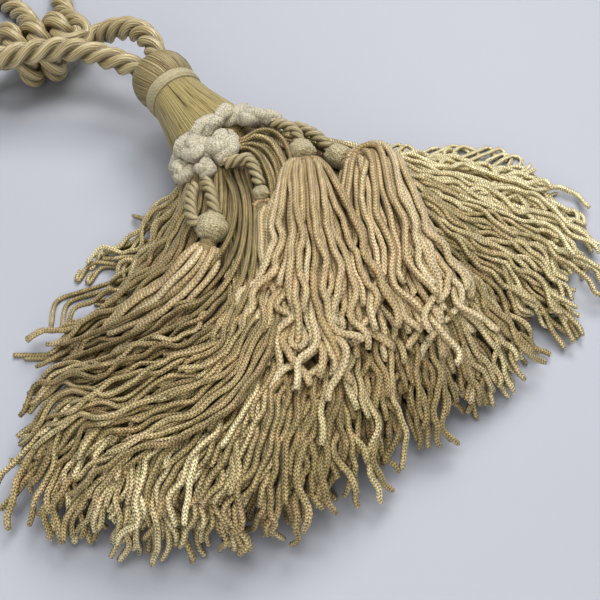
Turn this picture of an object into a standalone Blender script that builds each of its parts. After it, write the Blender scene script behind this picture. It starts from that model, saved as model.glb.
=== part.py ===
"""Curtain tieback tassel, lying on a table.

A turned wooden mould, wound with thread, carries a collar and a fluted cone.  A boucle cord and
knobs dress the foot of the cone.  The main skirt and four small tassels on fine cords hang
from there, and spread into a fan on the table.  The tieback is one thick three-ply rope: both ends
are set in the dome, one leg runs across a three-turn knot, and the rest lies as an open loop.

The design is worked in millimetres.  X is across the tassel, +Y points from the skirt to the head,
Z is up and the table is Z = 0 after the last step has put the origin under the tassel's middle.
"""
import math

import bmesh
import bpy
from mathutils import Vector

MM = 0.001

# ---- head (mm; S runs along the head's axis from the collar's lower edge towards the skirt) ----
HEAD_TILT = -7.0         # degrees the axis climbs from the dome to the skirt: the rope holds the dome up
COLLAR_Y, COLLAR_Z = 37.0, 32.6
GAP = 0.3                # clearance between neighbouring solids
SPIGOT_R = 10.0          # wooden spigot of the dome, plugged into the cone
SPIGOT_END = 7.5
RECESS_R, RECESS_S = 10.5, -18.6     # cup in the dome's top that takes the two rope ends
COLLAR_S = (-6.5, -GAP)
COLLAR_R = 14.6
CONE_END = 47.0
FOOT_R = 17.2            # the cone's foot, under the boucle cord
HEAD_SIDES = 30

# S, R of the dome's outside, from its rim to the shoulder under the collar
DOME_PROFILE = [(-23.0, 10.5), (-23.7, 11.2), (-22.9, 12.8), (-20.8, 14.5), (-17.6, 15.6),
                (-13.6, 15.9), (-9.8, 15.2), (-6.8, 13.8)]
# S, R of the cone's outside
CONE_PROFILE = [(0.0, 13.8), (12.0, 16.0), (25.0, 19.3), (35.4, 21.9), (35.6, FOOT_R), (CONE_END, FOOT_R)]

# ---- boucle dressing ----
RUFF_S, RUFF_RING, RUFF_TUBE = 41.3, 22.6, 4.6
RUFF_WAVE, RUFF_WAVES = 0.6, 9

# name, x, y, z, radius, height
KNOBS = [
    ("knob_front", -9.2, -26.4, 51.8, 6.0, 9.0),
    ("knob_side", -19.0, -19.2, 49.8, 5.5, 8.8),
    ("knob_left", -27.4, -19.8, 42.6, 5.3, 8.2),
    ("knob_low", -22.6, -30.8, 50.0, 4.0, 6.8),
]

# boucle cord laid over the skirt's root, beside the knobs
SWAG = [(5.0, -15.2, 52.7), (12.0, -16.0, 51.9), (19.0, -17.8, 49.0), (25.0, -22.0, 45.4)]
SWAG_R = 4.4

# ---- main skirt ----
FAN_S, FAN_CAP_R = 47.6, 24.0
FAN_COLUMNS, FAN_SPAN = 30, 75.0
FAN_ROWS = (-52.0, -27.0, -1.0, 25.0, 51.0)      # degrees of elevation between the rows of locks
LOCK_H = 3.4
# azimuth (degrees, 0 is straight off the head) and reach (mm) of the fan's edge
FAN_EDGE = [(-80, 130), (-72, 150), (-64, 168), (-58, 174), (-52, 190), (-39, 192), (-34, 189),
            (-21, 186), (-12, 173), (-6, 164), (1, 165), (12, 174), (24, 176), (36, 183), (51, 175),
            (59, 159), (67, 139), (74, 121)]
# row, first and last column, azimuth of the first and last lock's end, share of the edge's reach
FAN_LAYERS = [
    (0, 0, 29, -77.0, 71.0, 1.00),
    (1, 0, 29, -72.0, 67.0, 0.95),
    (2, 3, 26, -57.0, 52.0, 0.86),
    (3, 6, 23, -48.0, 42.0, 0.72),
]
# distance from the cap's centre, then the height of each layer's middle there
FAN_HEIGHT = [
    (0, 11.5, 21.0, 32.0, 42.0),
    (24, 10.0, 22.0, 33.4, 43.8),
    (38, 6.0, 19.4, 33.0, 43.8),
    (55, 3.2, 14.4, 29.0, 41.0),
    (75, 1.9, 10.0, 22.5, 35.0),
    (100, 1.7, 7.2, 15.8, 27.0),
    (130, 1.7, 5.9, 11.0, 18.0),
    (160, 1.7, 5.6, 9.6, 13.6),
    (210, 1.7, 5.5, 9.3, 13.2),
]
LOCK_STEPS = (0.08, 0.2, 0.38, 0.6, 0.82, 1.0)

# ---- small tassels: cord, ball and neck (x, y, z, radius), then the skirt: heading in degrees from
# -Y (+ towards +X), half width near and at its end, length, rows, columns, lift above the pile ----
SMALL = [
    dict(tag="a", cord=[(16.6, -24.6, 51.8), (20.2, -29.6, 52.8), (21.8, -35.6, 52.8), (20.4, -41.5, 52.0)],
         ball=(17.6, -47.4, 51.4, 6.0), neck=(13.8, -54.2, 50.0, 5.2), heading=-35.0, near=12.5,
         wide=19.0, length=104.0, rows=2, columns=9, lift=7.0),
    dict(tag="b", cord=[(26.6, -29.4, 48.2), (27.8, -35.4, 50.2), (29.6, -42.0, 50.4), (30.8, -49.6, 49.4)],
         ball=(31.0, -55.8, 48.0, 5.9), neck=(31.8, -63.4, 46.4, 5.2), heading=-13.0, near=14.5,
         wide=24.0, length=84.0, rows=2, columns=9, lift=3.0),
    dict(tag="c", cord=[(-26.8, -37.4, 50.2), (-28.8, -45.4, 51.2), (-31.2, -53.4, 50.6)],
         ball=(-37.6, -60.8, 48.2, 6.4), neck=(-44.6, -67.2, 45.8, 4.4), heading=-66.0, near=12.0,
         wide=15.0, length=60.0, rows=1, columns=9, lift=2.5),
    dict(tag="d", cord=[(-15.0, -34.8, 51.8), (-9.6, -37.6, 53.6), (-5.8, -41.6, 53.8), (-6.4, -48.4, 53.0)],
         ball=(-10.8, -57.4, 50.2, 3.8), neck=(-15.6, -64.4, 47.2, 3.8), heading=-41.0, near=4.5,
         wide=7.0, length=52.0, rows=1, columns=6, lift=2.5),
]
# second side of the doubled cord that carries tassel c
DOUBLED = [(-33.6, -37.4, 47.8), (-37.4, -42.6, 48.8), (-40.8, -48.6, 49.2), (-42.2, -53.4, 49.0)]
HANGER_R, HANGER_PITCH, HANGER_STEP = 2.9, 13.0, 1.5

# ---- rope ----
ROPE_R, ROPE_PITCH, ROPE_STEP = 6.5, 30.0, 3.8
LEG_END_R = 4.8                       # the rope's radius where it is squeezed into the dome's cup
LEG_SIDE, LEG_UP = 3.5, 3.8           # each rope end's place in the cup
KNOT_A, KNOT_B = (-55.0, 137.4), (-16.5, 128.6)   # plan ends of the knot's axis
KNOT_R, KNOT_TURNS = 19.2, 3
# route points x, y, z; chosen by hand, read through a smooth curve
LEG_FRONT = [(-5.0, 70.5, 33.0), (-8.2, 76.2, 33.0), (-11.4, 82.0, 33.4), (-15.6, 88.6, 34.0),
             (-22.8, 97.4, 35.0), (-32.0, 105.0, 35.6), (-41.5, 109.6, 35.6), (-52.0, 114.6, 34.8), (-63.5, 119.6, 33.0),
             (-73.6, 125.6, 29.4), (-80.0, 134.0, 24.6), (-77.6, 141.6, 20.8), (-69.4, 142.0, 19.4),
             (-58.2, 138.4, 19.3)]
LEG_BACK = [(6.4, 70.5, 39.6), (7.8, 78.4, 40.0), (8.3, 89.0, 38.8), (6.2, 99.6, 36.0),
            (2.0, 108.2, 32.2), (-3.8, 117.0, 26.6), (-10.6, 126.6, 20.4)]
LOOP = [(-33.0, 154.6, 15.0), (-28.0, 168.0, 10.4), (-25.0, 186.0, 7.4), (-28.0, 210.0, 6.7),
        (-34.0, 236.0, 6.7), (-34.0, 262.0, 6.7), (-20.0, 284.0, 6.7), (4.0, 290.0, 6.7),
        (25.0, 275.0, 6.7), (29.0, 249.0, 6.7), (18.0, 221.0, 6.7), (4.0, 198.0, 6.7),
        (-3.0, 178.0, 7.6), (-6.0, 162.0, 11.6), (-10.6, 150.6, 16.4)]


def material(name, hex_colour, roughness):
    """Return a Principled material of an sRGB colour."""
    mat = bpy.data.materials.new(name)
    mat.use_nodes = True
    rgb = [int(hex_colour[i:i + 2], 16) / 255 for i in (1, 3, 5)]
    lin = [c / 12.92 if c <= 0.04045 else ((c + 0.055) / 1.055) ** 2.4 for c in rgb]
    shader = mat.node_tree.nodes["Principled BSDF"]
    shader.inputs["Base Color"].default_value = (*lin, 1.0)
    shader.inputs["Roughness"].default_value = roughness
    shader.inputs["Metallic"].default_value = 0.0
    return mat


def make_object(name, bm, mat):
    """Turn a bmesh drawn in millimetres into a named object in metres."""
    bmesh.ops.recalc_face_normals(bm, faces=bm.faces)
    bmesh.ops.triangulate(bm, faces=[f for f in bm.faces if len(f.verts) == 4])
    bmesh.ops.scale(bm, vec=(MM, MM, MM), verts=bm.verts)
    mesh = bpy.data.meshes.new(name)
    bm.to_mesh(mesh)
    bm.free()
    mesh.materials.append(mat)
    obj = bpy.data.objects.new(name, mesh)
    bpy.context.scene.collection.objects.link(obj)
    return obj


def head_point(s, side=0.0, up=0.0):
    """Return the point at S along the head's axis, moved sideways and up from it."""
    t = math.radians(HEAD_TILT)
    along = Vector((0, -math.cos(t), math.sin(t)))
    rise = Vector((0, math.sin(t), math.cos(t)))
    return Vector((0, COLLAR_Y, COLLAR_Z)) + along * s + Vector((1, 0, 0)) * side + rise * up


def interpolate(table, x, column=1):
    """Return a column of a table, read between its rows."""
    if x <= table[0][0]:
        return table[0][column]
    for a, b in zip(table, table[1:]):
        if x <= b[0]:
            f = (x - a[0]) / (b[0] - a[0])
            return a[column] + f * (b[column] - a[column])
    return table[-1][column]


def smooth_route(points, step):
    """Return a smooth curve through the points, with a point about every step."""
    pts = [Vector(p) for p in points]
    ext = [pts[0] * 2 - pts[1], *pts, pts[-1] * 2 - pts[-2]]
    fine = []
    for i in range(len(pts) - 1):
        a, b, c, d = ext[i:i + 4]
        for k in range(16):
            t = k / 16
            fine.append(0.5 * ((2 * b) + (c - a) * t + (2 * a - 5 * b + 4 * c - d) * t * t
                               + (3 * b - a - 3 * c + d) * t ** 3))
    fine.append(pts[-1])
    runs = [0.0]
    for a, b in zip(fine, fine[1:]):
        runs.append(runs[-1] + (b - a).length)
    count = max(2, round(runs[-1] / step))
    out, j = [], 0
    for k in range(count + 1):
        want = runs[-1] * k / count
        while j < len(runs) - 2 and runs[j + 1] < want:
            j += 1
        f = (want - runs[j]) / max(1e-9, runs[j + 1] - runs[j])
        out.append(fine[j].lerp(fine[j + 1], min(1.0, f)))
    return out


def twisted_tube(name, route, radius, pitch, mat, lobes=3, depth=0.2, end_radius=None):
    """Build a rope's solid: a lobed section that turns once in every pitch, thinner at its start."""
    bm = bmesh.new()
    normal, rings, run = None, [], 0.0
    for i, p in enumerate(route):
        a, b = route[max(0, i - 1)], route[min(len(route) - 1, i + 1)]
        tangent = (b - a).normalized()
        seed = normal if normal is not None else Vector((0.13, 0.2, 1))
        normal = (seed - tangent * seed.dot(tangent)).normalized()
        binormal = tangent.cross(normal)
        if i:
            run += (p - route[i - 1]).length
        full = radius if end_radius is None else min(radius, end_radius + 0.09 * max(0.0, run - 3.5))
        ring = []
        for k in range(2 * lobes):
            angle = math.pi * k / lobes + 2 * math.pi * run / pitch
            r = full * (1.0 if k % 2 == 0 else 1.0 - depth)
            ring.append(bm.verts.new(p + normal * (r * math.cos(angle)) + binormal * (r * math.sin(angle))))
        rings.append(ring)
    n = 2 * lobes
    for lower, upper in zip(rings, rings[1:]):
        for k in range(n):
            bm.faces.new((lower[k], lower[(k + 1) % n], upper[(k + 1) % n], upper[k]))
    bm.faces.new(rings[0][::-1])
    bm.faces.new(rings[-1])
    bmesh.ops.triangulate(bm, faces=[f for f in bm.faces if len(f.verts) > 4])
    return make_object(name, bm, mat)


def turned(name, profile, mat, sides=HEAD_SIDES):
    """Turn a profile of S, R about the head's axis; R of zero closes it on the axis."""
    bm = bmesh.new()
    rings = []
    for s, r in profile:
        if r == 0:
            rings.append([bm.verts.new(head_point(s))])
            continue
        rings.append([bm.verts.new(head_point(s, r * math.cos(2 * math.pi * k / sides),
                                              r * math.sin(2 * math.pi * k / sides)))
                      for k in range(sides)])
    loops = list(zip(rings, rings[1:]))
    if profile[0][1] and profile[-1][1]:
        loops.append((rings[-1], rings[0]))
    for lower, upper in loops:
        for k in range(sides):
            j = (k + 1) % sides
            if len(lower) == 1:
                bm.faces.new((lower[0], upper[k], upper[j]))
            elif len(upper) == 1:
                bm.faces.new((lower[k], lower[j], upper[0]))
            else:
                bm.faces.new((lower[k], lower[j], upper[j], upper[k]))
    return make_object(name, bm, mat)


def ruff_ring(name, mat):
    """Build the boucle cord that rings the cone's foot in shallow waves."""
    bm = bmesh.new()
    steps, sides = 54, 8
    rings = []
    for i in range(steps):
        a = 2 * math.pi * i / steps
        s = RUFF_S + RUFF_WAVE * math.sin(RUFF_WAVES * a)
        radius = RUFF_TUBE * (1 + 0.09 * math.cos(2 * RUFF_WAVES * a))
        ring = []
        for k in range(sides):
            b = 2 * math.pi * k / sides
            r = RUFF_RING + radius * math.cos(b)
            ring.append(bm.verts.new(head_point(s + radius * math.sin(b), r * math.cos(a), r * math.sin(a))))
        rings.append(ring)
    for i, lower in enumerate(rings):
        upper = rings[(i + 1) % steps]
        for k in range(sides):
            bm.faces.new((lower[k], lower[(k + 1) % sides], upper[(k + 1) % sides], upper[k]))
    return make_object(name, bm, mat)


def knob(name, centre, radius, height, mat, turns=2.2, sides=18, rings=9):
    """Build a knob of wound cord: a flattened ball with the cord's turn raised as a spiral."""
    bm = bmesh.new()
    c = Vector(centre)
    rows = []
    for i in range(1, rings):
        polar = math.pi * i / rings
        row = []
        for k in range(sides):
            a = 2 * math.pi * k / sides
            swell = 1 + 0.09 * math.cos(2 * math.pi * (turns * polar / math.pi * 2) + a)
            row.append(bm.verts.new(c + Vector((radius * swell * math.sin(polar) * math.cos(a),
                                                radius * swell * math.sin(polar) * math.sin(a),
                                                height / 2 * math.cos(polar)))))
        rows.append(row)
    top = bm.verts.new(c + Vector((0, 0, height / 2)))
    foot = bm.verts.new(c - Vector((0, 0, height / 2)))
    for lower, upper in zip(rows, rows[1:]):
        for k in range(sides):
            bm.faces.new((lower[k], lower[(k + 1) % sides], upper[(k + 1) % sides], upper[k]))
    for k in range(sides):
        bm.faces.new((top, rows[0][k], rows[0][(k + 1) % sides]))
        bm.faces.new((foot, rows[-1][(k + 1) % sides], rows[-1][k]))
    return make_object(name, bm, mat)


def barrel(name, centre, direction, radius, length, mat, ends=0.82, sides=12):
    """Build a short wound neck: a barrel with flat ends along a direction."""
    bm = bmesh.new()
    d = Vector(direction).normalized()
    x = d.cross(Vector((0, 0, 1))).normalized()
    y = x.cross(d)
    rows = []
    for f, r in ((-0.5, ends), (-0.3, 1.0), (0.3, 1.0), (0.5, ends)):
        p = Vector(centre) + d * (f * length)
        rows.append([bm.verts.new(p + (x * math.cos(2 * math.pi * k / sides) + y * math.sin(
            2 * math.pi * k / sides)) * (radius * r)) for k in range(sides)])
    for lower, upper in zip(rows, rows[1:]):
        for k in range(sides):
            bm.faces.new((lower[k], lower[(k + 1) % sides], upper[(k + 1) % sides], upper[k]))
    bm.faces.new(rows[0][::-1])
    bm.faces.new(rows[-1])
    return make_object(name, bm, mat)


def fringe(name, centre, axis, plane_point, radius, azimuths, elevations, layers, mat):
    """Build a cap of fused strand roots and the three-sided locks drawn out of it.

    The cap is part of a ball between the given azimuths and elevations, cut flat behind by the
    plane through plane_point across axis.  Each layer names its row, its columns and the route of
    each lock: a list of plan azimuth, distance, height, width.
    """
    bm = bmesh.new()
    c = Vector(centre)
    grid = []
    for e in elevations:
        er = math.radians(e)
        grid.append([bm.verts.new(c + Vector((math.sin(math.radians(a)) * math.cos(er),
                                              -math.cos(math.radians(a)) * math.cos(er),
                                              math.sin(er))) * radius) for a in azimuths])
    rows, columns = len(elevations) - 1, len(azimuths) - 1
    routes = {(layer["row"], column): route for layer in layers
              for column, route in layer["locks"].items()}
    for r in range(rows):
        for q in range(columns):
            corner = (grid[r][q], grid[r][q + 1], grid[r + 1][q + 1], grid[r + 1][q])
            if (r, q) not in routes:
                bm.faces.new(corner)
                continue
            p = [v.co for v in corner]

            def cell(u, v):
                return (p[0] * (1 - u) + p[1] * u) * (1 - v) + (p[3] * (1 - u) + p[2] * u) * v
            ring = [bm.verts.new(cell(u, v)) for u, v in ((0.2, 0.33), (0.8, 0.33), (0.5, 0.67))]
            bm.faces.new((corner[0], corner[1], ring[1], ring[0]))
            bm.faces.new((corner[1], corner[2], ring[2], ring[1]))
            bm.faces.new((corner[2], corner[3], ring[2]))
            bm.faces.new((corner[3], corner[0], ring[0], ring[2]))
            for azimuth, distance, height, width in routes[r, q]:
                a = math.radians(azimuth)
                out, across = Vector((math.sin(a), -math.cos(a), 0)), Vector((math.cos(a), math.sin(a), 0))
                mid = Vector((c.x, c.y, 0)) + out * distance
                mid.z = height
                new = [bm.verts.new(mid - across * (width / 2) - Vector((0, 0, LOCK_H / 2))),
                       bm.verts.new(mid + across * (width / 2) - Vector((0, 0, LOCK_H / 2))),
                       bm.verts.new(mid + Vector((0, 0, LOCK_H / 2)))]
                for k in range(3):
                    bm.faces.new((ring[k], ring[(k + 1) % 3], new[(k + 1) % 3], new[k]))
                ring = new
            bm.faces.new(ring)
    rim = ([grid[0][q] for q in range(columns + 1)] + [grid[r][columns] for r in range(1, rows + 1)]
           + [grid[rows][q] for q in range(columns - 1, -1, -1)] + [grid[r][0] for r in range(rows - 1, 0, -1)])
    n = Vector(axis).normalized()
    back = [bm.verts.new(v.co - n * n.dot(v.co - Vector(plane_point))) for v in rim]
    for k, v in enumerate(rim):
        j = (k + 1) % len(rim)
        bm.faces.new((rim[j], v, back[k], back[j]))
    bm.faces.new(back)
    return make_object(name, bm, mat)


def ragged(i, row):
    """Return the share of the full reach that a lock has, uneven but fixed."""
    return 1.0 - 0.075 * abs(math.sin(2.4 * i + 1.3 * row)) - 0.035 * (i % 2)


def main_skirt(mat):
    """Build the main skirt: four layers of locks that fan out over the table."""
    centre = head_point(FAN_S)
    step = 2 * FAN_SPAN / FAN_COLUMNS
    azimuths = [-FAN_SPAN + step * q for q in range(FAN_COLUMNS + 1)]
    layers = []
    for row, first, last, start, stop, share in FAN_LAYERS:
        locks, count = {}, last - first
        spacing = math.radians(stop - start) / count
        for i, q in enumerate(range(first, last + 1)):
            root, end = azimuths[q] + step / 2, start + (stop - start) * i / count
            reach = interpolate(FAN_EDGE, end) * share * ragged(i, row)
            near = FAN_CAP_R * math.cos(math.radians((FAN_ROWS[row] + FAN_ROWS[row + 1]) / 2))
            route = []
            for t in LOCK_STEPS:
                distance = near + (reach - near) * t
                azimuth = root + (end - root) * min(1.0, 1.6 * t)
                height = interpolate(FAN_HEIGHT, distance, row + 1)
                width = max(1.0, min(5.4, 0.62 * spacing * distance))
                if t == 1.0:
                    width *= 0.6
                route.append((azimuth, distance, height, width))
            locks[q] = route
        layers.append(dict(row=row, locks=locks))
    return fringe("main_skirt", centre, head_point(1) - head_point(0), head_point(FAN_S), FAN_CAP_R,
                  azimuths, FAN_ROWS, layers, mat)


def pile_top(x, y):
    """Return the height of the main skirt's upper layers at a plan point."""
    centre = head_point(FAN_S)
    distance = math.hypot(x - centre.x, y - centre.y)
    azimuth = math.degrees(math.atan2(x - centre.x, centre.y - y))
    reach = interpolate(FAN_EDGE, azimuth)
    for row, _, _, _, _, share in reversed(FAN_LAYERS):
        if distance < reach * share:
            return interpolate(FAN_HEIGHT, distance, row + 1) + LOCK_H / 2
    return 0.0


def small_tassel(spec, cord_mat, skirt_mat, neck_mat):
    """Build one small tassel: its cord, its boucle ball, its wound neck and its skirt."""
    tag, made = spec["tag"], []
    bx, by, bz, br = spec["ball"]
    nx, ny, nz, nr = spec["neck"]
    ball, neck = Vector((bx, by, bz)), Vector((nx, ny, nz))
    heading = math.radians(spec["heading"])
    route = [Vector(p) for p in spec["cord"]]
    last = route[-1]
    route[-1] = ball + (last - ball).normalized() * (br * 1.03 + GAP + 0.8)
    made.append(twisted_tube(f"tassel_{tag}_cord", smooth_route(route, HANGER_STEP), HANGER_R, HANGER_PITCH,
                             cord_mat, lobes=2, depth=0.22))
    made.append(knob(f"tassel_{tag}_ball", ball, br, 2 * br * 0.94, cord_mat, sides=12, rings=7))
    along = (neck - ball).normalized()
    length = 2 * ((neck - ball).length - br * 1.1 - GAP)
    made.append(barrel(f"tassel_{tag}_neck", neck, along, nr, min(5.6, length), neck_mat))
    cap_r = nr + 2.6
    out = Vector((math.sin(heading), -math.cos(heading), 0))
    centre = neck + along * 3.0 + out * 1.3
    centre.z -= 0.6
    span = 42.0
    columns, rows = spec["columns"], spec["rows"]
    azimuths = [spec["heading"] - span + 2 * span * q / columns for q in range(columns + 1)]
    elevations = [-32.0, 0.0, 32.0] if rows == 2 else [-24.0, 18.0]
    side = Vector((math.cos(heading), math.sin(heading), 0))
    layers = []
    for row in range(rows):
        locks = {}
        for q in range(columns):
            share = 2 * q / (columns - 1) - 1
            root = math.radians(azimuths[q] + span / columns)
            across = cap_r * math.sin(root - heading)
            reach = spec["length"] * (1.0 - 0.12 * row) * ragged(q, row + 2)
            start_z = centre.z + cap_r * math.sin(math.radians((elevations[row] + elevations[row + 1]) / 2))
            route = []
            for t in (0.12, 0.3, 0.52, 0.76, 1.0):
                ahead = cap_r + (reach - cap_r) * t
                grow = min(1.0, ahead / 42.0) ** 1.4
                width_here = spec["near"] + (spec["wide"] - spec["near"]) * t
                lateral = across + (share * width_here - across) * grow
                plan = out * ahead + side * lateral
                x, y = centre.x + plan.x, centre.y + plan.y
                rest = pile_top(x, y) + spec["lift"] + LOCK_H * 1.2 * row
                blend = min(1.0, t / 0.5)
                height = start_z + (rest - start_z) * blend * blend * (3 - 2 * blend)
                width = max(0.7, min(4.4, 1.16 * width_here * grow / (columns - 1)))
                route.append((math.degrees(math.atan2(plan.x, -plan.y)), math.hypot(plan.x, plan.y),
                              max(height, rest), width * (0.6 if t == 1.0 else 1.0)))
            locks[q] = route
        layers.append(dict(row=row, locks=locks))
    made.append(fringe(f"tassel_{tag}_skirt", centre, out, centre - out * 0.2, cap_r, azimuths, elevations,
                       layers, skirt_mat))
    return made


def knot(mat):
    """Build the knot: one solid of its wound form, three turns about a straight core."""
    bm = bmesh.new()
    a, b = Vector((*KNOT_A, KNOT_R + 0.1)), Vector((*KNOT_B, KNOT_R + 0.1))
    d = (b - a).normalized()
    x = d.cross(Vector((0, 0, 1))).normalized()
    y = x.cross(d)
    length, sides, per_turn = (b - a).length, 20, 5
    pitch = length / KNOT_TURNS
    rows = []
    count = per_turn * KNOT_TURNS
    for i in range(count + 1):
        u = length * i / count
        ring = []
        for k in range(sides):
            angle = 2 * math.pi * k / sides
            phase = (u / pitch + angle / (2 * math.pi)) % 1.0
            edge = min(1.0, 0.55 + 2.2 * min(u, length - u) / pitch)
            r = (KNOT_R - 5.2 * (2 * abs(phase - 0.5)) ** 2.4) * edge
            ring.append(bm.verts.new(a + d * u + x * (r * math.cos(angle)) + y * (r * math.sin(angle))))
        rows.append(ring)
    for lower, upper in zip(rows, rows[1:]):
        for k in range(sides):
            bm.faces.new((lower[k], lower[(k + 1) % sides], upper[(k + 1) % sides], upper[k]))
    bm.faces.new(rows[0][::-1])
    bm.faces.new(rows[-1])
    return make_object("rope_knot", bm, mat)


def main():
    """Build every piece, then put the origin under the middle of the tassel."""
    for obj in list(bpy.data.objects):
        bpy.data.objects.remove(obj)
    dome_thread = material("dome_thread", "#9F8D69", 0.55)
    collar_braid = material("collar_braid", "#C9BC9A", 0.6)
    cone_thread = material("cone_thread", "#BBAA7A", 0.5)
    boucle = material("boucle_cord", "#D2CAB4", 0.8)
    hanger = material("hanger_cord", "#CFC3A3", 0.5)
    skirt = material("skirt_chainette", "#B5A476", 0.5)
    small = material("small_chainette", "#D6C09A", 0.5)
    rope = material("satin_rope", "#CBBE9C", 0.45)

    inner = SPIGOT_R
    body = [turned("head_dome", [(RECESS_S, 0), (RECESS_S, RECESS_R - 0.1), *DOME_PROFILE, (-7.5, inner),
                                 (SPIGOT_END, inner), (SPIGOT_END, 0)], dome_thread)]
    c0, c1 = COLLAR_S
    body.append(turned("head_collar", [(c0, inner + GAP), (c0, COLLAR_R - 0.9), (c0 + 0.9, COLLAR_R),
                                       (c1 - 0.9, COLLAR_R), (c1, COLLAR_R - 0.7), (c1, inner + GAP)],
                       collar_braid))
    body.append(turned("head_cone", [(SPIGOT_END + GAP, 0), (SPIGOT_END + GAP, inner + GAP),
                                     (0.0, inner + GAP), *CONE_PROFILE, (CONE_END, 0)], cone_thread))
    body.append(ruff_ring("ruff_cord", boucle))
    for name, x, y, z, radius, height in KNOBS:
        body.append(knob(name, (x, y, z), radius, height, boucle))
    body.append(twisted_tube("swag_cord", smooth_route(SWAG, 2.4), SWAG_R, 26.0, boucle, lobes=4, depth=0.07))
    body.append(main_skirt(skirt))
    for spec in SMALL:
        body += small_tassel(spec, hanger, small, hanger)
    body.append(twisted_tube("tassel_c_loop", smooth_route(DOUBLED, HANGER_STEP), HANGER_R, HANGER_PITCH,
                             hanger, lobes=2, depth=0.22))

    front = [head_point(RECESS_S - 0.5, -LEG_SIDE, -LEG_UP), head_point(RECESS_S - 6.5, -LEG_SIDE, -LEG_UP)]
    back = [head_point(RECESS_S - 0.5, LEG_SIDE, LEG_UP), head_point(RECESS_S - 6.5, LEG_SIDE, LEG_UP)]
    cords = [
        twisted_tube("rope_leg_front", smooth_route(front + LEG_FRONT, ROPE_STEP), ROPE_R, ROPE_PITCH, rope,
                     end_radius=LEG_END_R),
        twisted_tube("rope_leg_back", smooth_route(back + LEG_BACK, ROPE_STEP), ROPE_R, ROPE_PITCH, rope,
                     end_radius=LEG_END_R),
        knot(rope),
        twisted_tube("rope_loop", smooth_route(LOOP, ROPE_STEP), ROPE_R, ROPE_PITCH, rope),
    ]

    corners = [v.co for obj in body for v in obj.data.vertices]
    low = Vector(min(p[i] for p in corners) for i in range(3))
    high = Vector(max(p[i] for p in corners) for i in range(3))
    shift = Vector((-(low.x + high.x) / 2, -(low.y + high.y) / 2, -low.z))
    for obj in body + cords:
        for v in obj.data.vertices:
            v.co += shift


main()
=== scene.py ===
"""Dress a curtain tieback tassel: its rope, wound head, boucle trim and chainette skirts.

Every route is written in the millimetres of the tassel's own drawing: X runs across the tassel, +Y
from the skirt to the head, Z up from the table.  A Datum carries them to the frame's metres.
"""
import logging
import math
from dataclasses import dataclass
from enum import Enum
from itertools import product
from typing import Callable, Sequence

import bmesh
import bpy
import numpy as np
from mathutils import Matrix, Vector, noise


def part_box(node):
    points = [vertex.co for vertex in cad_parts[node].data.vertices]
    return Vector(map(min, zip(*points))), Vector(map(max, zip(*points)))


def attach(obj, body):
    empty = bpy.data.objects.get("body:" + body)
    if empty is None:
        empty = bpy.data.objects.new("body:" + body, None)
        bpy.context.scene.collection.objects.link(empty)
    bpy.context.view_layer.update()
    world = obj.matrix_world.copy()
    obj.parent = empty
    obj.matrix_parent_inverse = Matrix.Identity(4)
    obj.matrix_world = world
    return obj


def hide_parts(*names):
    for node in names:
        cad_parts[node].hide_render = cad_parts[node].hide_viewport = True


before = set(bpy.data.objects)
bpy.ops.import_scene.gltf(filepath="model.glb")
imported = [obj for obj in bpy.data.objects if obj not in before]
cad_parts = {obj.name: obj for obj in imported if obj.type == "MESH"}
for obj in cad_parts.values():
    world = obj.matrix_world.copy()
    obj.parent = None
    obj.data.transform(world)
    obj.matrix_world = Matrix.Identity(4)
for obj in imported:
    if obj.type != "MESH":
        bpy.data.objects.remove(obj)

LOG = logging.getLogger("tieback")
MM = 0.001
TAU = 2.0 * math.pi
RGBA = {"out": 2, "data_type": "RGBA"}
FLAT = {"noise_dimensions": "2D"}
Triple = tuple[float, float, float]


class Seam(Enum):
    """How a tube ends: drawn to a point at each end, or joined round into a ring."""

    CLOSED_ENDS = "closed ends"
    RING = "ring"


class Yarn(Enum):
    """The chainette yarns, with the thickness of each in millimetres."""

    KHAKI = 2.35
    FULL = 2.65
    CREAM = 3.2


# ---------------------------------------------------------------- drawing frame and curves


@dataclass(frozen=True)
class Datum:
    """The head's axis in the drawing, and the shift from the drawing to the frame."""

    tilt: float = -7.0
    collar: Triple = (0.0, 37.0, 32.6)
    collar_middle: float = -3.4

    def head_matrix(self) -> Matrix:
        """Return the matrix from head space (side, rise, along the axis) to the drawing."""
        t = math.radians(self.tilt)
        turn = Matrix(((1, 0, 0), (0, math.sin(t), -math.cos(t)), (0, math.cos(t), math.sin(t))))
        return Matrix.Translation(self.collar) @ turn.to_4x4()

    def head_point(self, s: float, side: float = 0.0, up: float = 0.0) -> Vector:
        """Return the drawing's point at S along the head, moved sideways and up from its axis."""
        return self.head_matrix() @ Vector((side, up, s))

    def shift(self) -> np.ndarray:
        """Return the drawing's offset in millimetres, read from the collar's box."""
        low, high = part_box("head_collar")
        middle = (np.array(low) + np.array(high)) / 2 / MM
        return middle - np.array(self.head_point(self.collar_middle))

    def place(self, points: Sequence) -> np.ndarray:
        """Return drawing points as metres in the frame."""
        return (np.asarray(points, float) + self.shift() * (1, 1, 0)) * MM


DATUM = Datum()


def travelled(points: np.ndarray) -> np.ndarray:
    """Return the distance along a route at each of its points."""
    return np.concatenate([[0.0], np.cumsum(np.linalg.norm(np.diff(points, axis=0), axis=1))])


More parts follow.
